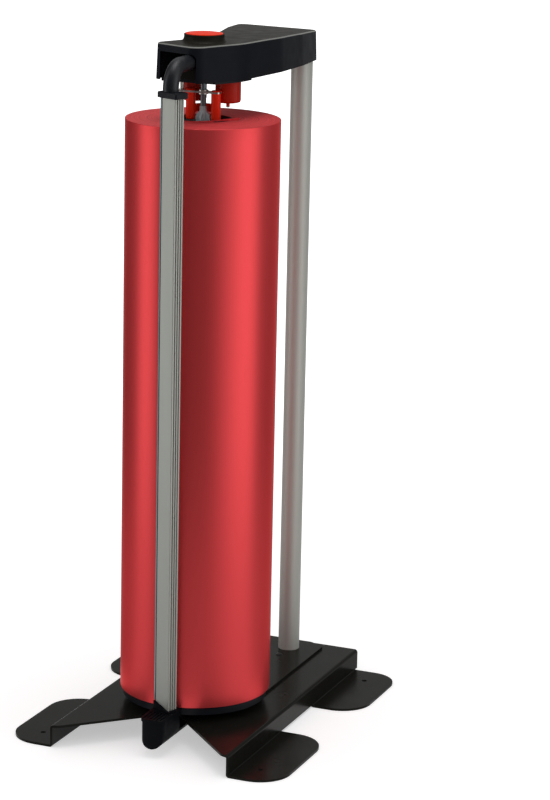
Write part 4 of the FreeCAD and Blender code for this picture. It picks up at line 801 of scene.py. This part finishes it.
# ---------------------------------------------------------------- operators
class WRAPCUTTER_OT_wound_paper(bpy.types.Operator):
    """Wound roll of paper: soft side, spiral of layers on both ends, and a curled inner end"""

    bl_idname = "wrap_cutter.wound_paper"
    bl_label = "Wound paper"

    def execute(self, context):
        """The section is carried round the roll's axis. On the ends the height falls and rises
        with (radius / bundle - angle / turn), which draws a spiral, and two slow sine waves drift
        through it. The side swells with sines of three and seven waves round the roll."""
        s = sizes()
        profile = self.section()
        radius = profile[:, :1]
        angle = np.linspace(0, TURN, ROLL_STEPS, endpoint=False)[None, :]
        side_from = ROLL_RADIUS - PAPER_EDGE * 1.01
        bore_to = BORE_RADIUS + PAPER_EDGE * 0.5
        on_side = radius > side_from
        on_bore = radius <= bore_to
        on_face = ((radius < side_from) & ~on_bore).astype(float)
        is_top = profile[:, 1:] > (ROLL_LOW.z + ROLL_HIGH.z) / 2

        phase = radius / s.layer_bundle - angle / TURN
        ridge = np.abs((phase % 1.0) - 0.5) * 2.0
        fast, slow = DRIFT_WAVES
        drift = (
            np.sin(radius * fast + 2.0 * np.sin(angle * 2)) * 0.5
            + np.sin(radius * slow + angle) * 0.5)
        drop = on_face * s.layer_height * (RIDGE_SHARE * ridge + DRIFT_SHARE * (1 + drift))
        swell = (np.sin(angle * 3 + 1.0) + 0.6 * np.sin(angle * 7)) * SWELL
        bulge = on_side.astype(float) * swell

        points = revolve(profile, AXIS, ROLL_STEPS)
        points[..., 0] += bulge * np.cos(angle)
        points[..., 1] += bulge * np.sin(angle)
        points[..., 2] += np.where(is_top, -drop, drop)
        mesh = grid_mesh("wound_paper", points, close_v=True)
        mark(mesh, "end_face", np.repeat(on_face, ROLL_STEPS, axis=1))
        mark(mesh, "bore_wall", np.repeat(on_bore, ROLL_STEPS, axis=1))
        add_piece("wound_paper", mesh, "roll", finish("paper"), "red_paper", "paper_roll")
        self.curl(s.curl_height)
        return {"FINISHED"}

    def section(self):
        """Rows of (radius, height) up the side, in over the top, down the bore and out under the
        bottom. The outer corners are quarter circles of the edge's radius."""
        outer, bore, edge = ROLL_RADIUS, BORE_RADIUS, PAPER_EDGE
        low, high = ROLL_LOW.z, ROLL_HIGH.z
        turn = np.linspace(0, math.pi / 2, CORNER_ROWS)
        face = np.linspace(outer - edge, bore + edge, FACE_ROWS)[1:]
        up = np.linspace(low + edge, high - edge, SIDE_ROWS)[1:-1]
        down = np.linspace(high - edge, low + edge, BORE_ROWS)
        rows = (
            (np.full_like(up, outer), up),
            (outer - edge + edge * np.cos(turn), high - edge + edge * np.sin(turn)),
            (face, np.full_like(face, high)),
            (np.full_like(down, bore), down),
            (face[::-1], np.full_like(face, low)),
            (outer - edge + edge * np.sin(turn), low + edge - edge * np.cos(turn)),
        )
        return np.concatenate([np.stack(row, -1) for row in rows])

    def curl(self, height):
        """Innermost layer, with u along it and v up it, both from 0 to 1. Its foot follows the
        bore, and its last stretch leaves the bore along the tangent, where the radius is the
        bore's over the cosine of the angle past that point. The height grows with u to the power
        of one and a half, and the top leans out with v squared."""
        along = np.linspace(0.0, 1.0, CURL_STEPS)[None, :]
        up = np.linspace(0.0, 1.0, CURL_ROWS)[:, None]
        start, leave, stop = (math.radians(a) for a in CURL_ANGLES)
        high = ROLL_HIGH.z
        angle = start + along * (stop - start)
        past = np.maximum(angle - leave, 0.0)
        radius = (BORE_RADIUS - CURL_GAP) / np.cos(past)
        rise = height * (CURL_BEGIN + (1 - CURL_BEGIN) * along ** CURL_POWER)
        free = np.clip(past / CURL_CLEAR_OVER, 0.0, 1.0)
        foot = high - CURL_DEPTH + free * (CURL_CLEAR + CURL_FOLLOW * rise * along)
        z = foot + up * (high + rise - foot)
        r = radius + up ** 2 * CURL_LEAN * along
        x = AXIS[0] + r * np.cos(angle)
        y = AXIS[1] + r * np.sin(angle)
        mesh = grid_mesh("paper_curl", np.stack([x, y, z], -1), close_u=False)
        mark(mesh, "end_face", np.ones(len(mesh.vertices)))
        piece = add_piece("paper_curl", mesh, "roll", finish("paper"), "red_paper")
        wall = piece.modifiers.new("sheet", "SOLIDIFY")
        wall.thickness = PAPER_SHEET


class WRAPCUTTER_OT_roll_holders(bpy.types.Operator):
    """Core, its plug, the turntable, its stud and its washer"""

    bl_idname = "wrap_cutter.roll_holders"
    bl_label = "Core and turntable"

    def execute(self, context):
        dress("roll_core", finish("core_board"), "core_board")
        dress("core_plug", finish("grip_moulding"), "black_plastic", MOULDED_EDGE)
        dress("turntable", finish("black_moulding"), "black_plastic", TURNTABLE_EDGE)
        dress("turntable_axle", finish("plated_steel"), "bright_steel", MOULDED_EDGE)
        dress("thrust_washer", finish("grey_moulding"), "grey_plastic")
        return {"FINISHED"}


class WRAPCUTTER_OT_base(bpy.types.Operator):
    """Bent base, raised plate and its screws, post of the pull springs and guides of the arm"""

    bl_idname = "wrap_cutter.base"
    bl_label = "Base"

    def execute(self, context):
        dress("base_plate", finish("base_coat"), "black_steel")
        dress("column_plate", finish("base_coat"), "black_steel")
        dress("plate_screws", finish("dark_screws"), "dark_screws")
        dress("base_anchor", finish("plated_steel"), "bright_steel")
        dress("arm_guides", finish("black_moulding"), "black_plastic", MOULDED_EDGE)
        return {"FINISHED"}


class WRAPCUTTER_OT_column(bpy.types.Operator):
    """Column with its plug and bolt"""

    bl_idname = "wrap_cutter.column"
    bl_label = "Column"

    def execute(self, context):
        dress("column_tube", finish("column_coat"), "satin_aluminium")
        dress("column_anchor", finish("plated_steel"), "bright_steel")
        dress("column_bolt", finish("plated_steel"), "bright_steel", MOULDED_EDGE)
        return {"FINISHED"}


class WRAPCUTTER_OT_head(bpy.types.Operator):
    """Moulded head with its chassis, button and the pieces inside it"""

    bl_idname = "wrap_cutter.head"
    bl_label = "Head"

    def execute(self, context):
        black = finish("black_moulding")
        steel = finish("plated_steel")
        dress("head_shell", finish("head_moulding"), "black_plastic")
        dress("head_chassis", black, "black_plastic")
        dress("button_cap", finish("button_red"), "button_red", MOULDED_EDGE)
        dress("button_seat", black, "black_plastic")
        dress("shell_pillars", black, "black_plastic")
        dress("bar_keepers", black, "black_plastic", MOULDED_EDGE)
        dress("column_clamp", finish("aluminium"), "satin_aluminium", MOULDED_EDGE)
        dress("spindle_bush", finish("grey_moulding"), "grey_plastic")
        for node in ("clamp_screw", "chassis_screws"):
            dress(node, finish("dark_screws"), "dark_screws", CRISP_EDGE)
        for node in ("latch_slide", "head_anchor", "strip_guide_pin"):
            dress(node, steel, "bright_steel")
        return {"FINISHED"}


class WRAPCUTTER_OT_lifter(bpy.types.Operator):
    """Spring cups, finger grip, strip, rod and finned tip"""

    bl_idname = "wrap_cutter.lifter"
    bl_label = "Spindle and finger grip"

    def execute(self, context):
        red = finish("red_moulding")
        steel = finish("plated_steel")
        # the cups' darker red is painted shade
        dress("spring_cups", finish("cup_red"), "red_plastic", MOULDED_EDGE)
        dress("finger_grip", red, "red_plastic", MOULDED_EDGE)
        dress("grip_caps", red, "red_plastic", CRISP_EDGE)
        dress("spring_pins", finish("pin_red"), "red_plastic")
        for node in ("cross_strip", "crosshead", "pin_clips", "rod_clips"):
            dress(node, steel, "bright_steel")
        dress("spindle_rod", finish("rod_steel"), "bright_steel")
        dress("star_tip", finish("grey_moulding"), "grey_plastic", MOULDED_EDGE)
        return {"FINISHED"}


class WRAPCUTTER_OT_cutter(bpy.types.Operator):
    """Rail, blade, end cap, elbow, slide bar and lower arm"""

    bl_idname = "wrap_cutter.cutter"
    bl_label = "Cutter"

    def execute(self, context):
        black = finish("black_moulding")
        dress("cutting_rail", finish("aluminium"), "satin_aluminium", CRISP_EDGE)
        dress("cutter_blade", finish("blade_steel"), "bright_steel")
        dress("rail_cap", black, "black_plastic", CAP_EDGE)
        dress("elbow_arm", finish("elbow_moulding"), "black_plastic", MOULDED_EDGE)
        dress("slide_bar", finish("base_coat"), "black_steel", CRISP_EDGE)
        dress("lower_arm", finish("grip_moulding"), "black_plastic", MOULDED_EDGE)
        return {"FINISHED"}


class WRAPCUTTER_OT_springs(bpy.types.Operator):
    """Springs of the button, lifter and rail, which shorten and stretch with their joints"""

    bl_idname = "wrap_cutter.springs"
    bl_label = "Springs"

    def execute(self, context):
        """A pressed spring keeps (length - travel) / length at its joint's end, and stands on its
        lower (0) or upper (1) end. The pulled springs stay on their posts at the back and follow
        the cutter in front."""
        steel = finish("plated_steel")
        travel = {
            joint["name"]: joint["range_m"][1]
            for joint in frame["record"]["behaviour"]["joints"] if "range_m" in joint}
        pressed = (("button_spring", "button_press", 0), ("lifter_springs", "spindle_lift", 1))
        for node, joint, end in pressed:
            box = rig.box(node)
            length = box[1].z - box[0].z
            piece = dress(node, steel, "bright_steel")
            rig.squash(piece, joint, (0, 0, 1), box[end], 1 - travel[joint] / length)
        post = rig.box("base_anchor")[0].y
        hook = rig.box("slide_bar")[1].y
        piece = dress("pull_springs", steel, "bright_steel", rides=False)
        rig.blend(piece, "stand", "cutter", (0, post, 0), (0, hook, 0))
        return {"FINISHED"}


class WRAPCUTTER_OT_stage(bpy.types.Operator):
    """Pale floor, studio surround, lights and camera"""

    bl_idname = "wrap_cutter.stage"
    bl_label = "Stage"

    def execute(self, context):
        scene = context.scene
        scene.view_settings.view_transform = "Standard"
        stage = scene.wrap_cutter_stage
        self.floor()
        self.surround(scene, stage.room_level)
        self.cards()
        for name, place, aim, size, power in LIGHTS:
            self.softbox(name, place, aim, size, getattr(stage, power))
        self.camera(scene)
        return {"FINISHED"}

    def floor(self):
        """White plane that keeps the object's shadow: a lit pale surface plus the glow that its
        own light falls short of white by, which only cameras, gloss and glass see."""
        corners = [(x * FLOOR_REACH, y * FLOOR_REACH, 0)
                   for x, y in ((-1, -1), (1, -1), (1, 1), (-1, 1))]
        mesh = bpy.data.meshes.new("floor")
        mesh.from_pydata(corners, [], [(0, 1, 2, 3)])
        floor = link("floor", mesh)
        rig.stage(floor)
        f = Finish("white_floor")
        (near, near_glow), (far, far_glow) = GLOW_NEAR, GLOW_FAR
        reach = f.distance_to(0.0, 0.0)
        glow = f.spread(reach, near, far, near_glow, far_glow) * f.seen()
        white = f.node("ShaderNodeCombineColor", {}, {"Red": glow, "Green": glow, "Blue": glow})
        f.drive("Emission Color", white)
        f.set(Base_Color=(0.80, 0.80, 0.80), Roughness=0.9, Specular_IOR_Level=0.0,
              Emission_Strength=1.0)
        mesh.materials.append(f.material)

    def surround(self, scene, level):
        """White world for camera, gloss and glass; an even, plain light for everything else."""
        world = bpy.data.worlds.new("studio")
        scene.world = world
        world.use_nodes = True
        world.node_tree.nodes.clear()
        f = Nodes(world.node_tree)
        room, white = (
            f.node("ShaderNodeBackground", {}, {"Color": opaque((1.0, 1.0, 1.0)), "Strength": s})
            for s in (level, 1.0))
        light = f.node("ShaderNodeMixShader", {}, {0: f.seen(), 1: room, 2: white})
        f.node("ShaderNodeOutputWorld", {}, {"Surface": light}, None)

    def cards(self):
        """Upright ring of black and grey cards, standing on a flat collar, which only reflections
        see. The density of the ring is a ramp of the bearing round the roll, veiled near the
        floor; where it is clear, the white room shows through."""
        mesh = grid_mesh("reflection_cards", revolve(CARD_RIM, AXIS, CARD_STEPS))
        cards = link("reflection_cards", mesh)
        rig.stage(cards)
        cards.visible_camera = False
        cards.visible_diffuse = False
        cards.visible_transmission = False
        cards.visible_shadow = False
        f = Finish("card_ring")
        view = math.radians(CAMERA_YAW - 90)
        x, y = f.axis("X") - AXIS[0], f.axis("Y") - AXIS[1]
        along = x * math.cos(view) + y * math.sin(view)
        across = y * math.cos(view) - x * math.sin(view)
        bearing = f.maths("ARCTAN2", across, along) * (1 / TURN) + 0.5
        stops = [(0.5 + degrees / 360.0, (density,) * 3) for degrees, density in CARD_STOPS]
        pattern = f.node("ShaderNodeValToRGB", {"stops": stops}, {"Fac": bearing})
        haze_top, haze = CARD_HAZE
        veil = f.spread(f.axis("Z"), 0.0, haze_top, haze, 0.0)
        density = f.between(veil, pattern, (0.5, 0.5, 0.5))
        card = f.node("ShaderNodeEmission", {}, {"Color": opaque((CARD_GREY,) * 3)})
        clear = f.node("ShaderNodeBsdfTransparent", {}, {})
        f.finish_with(f.node("ShaderNodeMixShader", {}, {0: density, 1: clear, 2: card}))
        mesh.materials.append(f.material)

    def softbox(self, name, place, aim, size, power):
        """Rectangular light that faces a point."""
        light = bpy.data.lights.new(name, "AREA")
        light.shape = "RECTANGLE"
        light.size, light.size_y = size
        light.energy = power
        lamp = link(name, light)
        lamp.location = place
        lamp.rotation_mode = "QUATERNION"
        lamp.rotation_quaternion = (Vector(aim) - Vector(place)).to_track_quat("-Z", "Y")
        lamp.visible_camera = False

    def camera(self, scene):
        """Camera whose view is turned by yaw, tipped down by pitch and rolled about itself."""
        data = bpy.data.cameras.new("camera")
        data.sensor_width = SENSOR
        data.sensor_fit = "AUTO"
        data.lens = FOCUS * SENSOR
        data.clip_end = CLIP_END
        camera = link("camera", data)
        yaw, pitch, roll = (math.radians(a) for a in (CAMERA_YAW, CAMERA_PITCH, CAMERA_ROLL))
        view = np.array([
            -math.sin(yaw) * math.cos(pitch), math.cos(yaw) * math.cos(pitch), -math.sin(pitch)])
        level = np.array([math.cos(yaw), math.sin(yaw), 0.0])
        upright = np.cross(level, view)
        right = math.cos(roll) * level + math.sin(roll) * upright
        up = -math.sin(roll) * level + math.cos(roll) * upright
        place = Matrix(np.stack([right, up, -view], axis=1).tolist()).to_4x4()
        place.translation = Vector(CAMERA_PLACE)
        camera.matrix_world = place
        scene.camera = camera


class WRAPCUTTER_PT_panel(bpy.types.Panel):
    """Colours, sizes and the steps that make the cutter's pieces"""

    bl_idname = "WRAPCUTTER_PT_panel"
    bl_label = "Wrap cutter"
    bl_space_type = "VIEW_3D"
    bl_region_type = "UI"
    bl_category = "Wrap cutter"

    def draw(self, context):
        scene = context.scene
        for group in (scene.wrap_cutter_colours, scene.wrap_cutter_sizes, scene.wrap_cutter_stage):
            box = self.layout.box()
            for name in group.__annotations__:
                box.prop(group, name)
        for operator in OPERATORS:
            self.layout.operator(operator.bl_idname)


GROUPS = (WrapCutterColours, WrapCutterSizes, WrapCutterStage)
OPERATORS = (
    WRAPCUTTER_OT_stage, WRAPCUTTER_OT_wound_paper, WRAPCUTTER_OT_roll_holders,
    WRAPCUTTER_OT_base, WRAPCUTTER_OT_column, WRAPCUTTER_OT_head, WRAPCUTTER_OT_lifter,
    WRAPCUTTER_OT_cutter, WRAPCUTTER_OT_springs,
)


def register():
    for kind in (*GROUPS, *OPERATORS, WRAPCUTTER_PT_panel):
        bpy.utils.register_class(kind)
    bpy.types.Scene.wrap_cutter_colours = bpy.props.PointerProperty(type=WrapCutterColours)
    bpy.types.Scene.wrap_cutter_sizes = bpy.props.PointerProperty(type=WrapCutterSizes)
    bpy.types.Scene.wrap_cutter_stage = bpy.props.PointerProperty(type=WrapCutterStage)


def unregister():
    del bpy.types.Scene.wrap_cutter_stage
    del bpy.types.Scene.wrap_cutter_sizes
    del bpy.types.Scene.wrap_cutter_colours
    for kind in reversed((*GROUPS, *OPERATORS, WRAPCUTTER_PT_panel)):
        bpy.utils.unregister_class(kind)


def main():
    register()
    for operator in OPERATORS:
        group, name = operator.bl_idname.split(".")
        getattr(getattr(bpy.ops, group), name)()
    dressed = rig.bounds()
    with open("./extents.json", "w") as sheet:
        json.dump({
            "cad": [list(corner) for corner in cad_box],
            "visual": [list(corner) for corner in dressed],
        }, sheet)


if __name__ == "__main__":
    main()
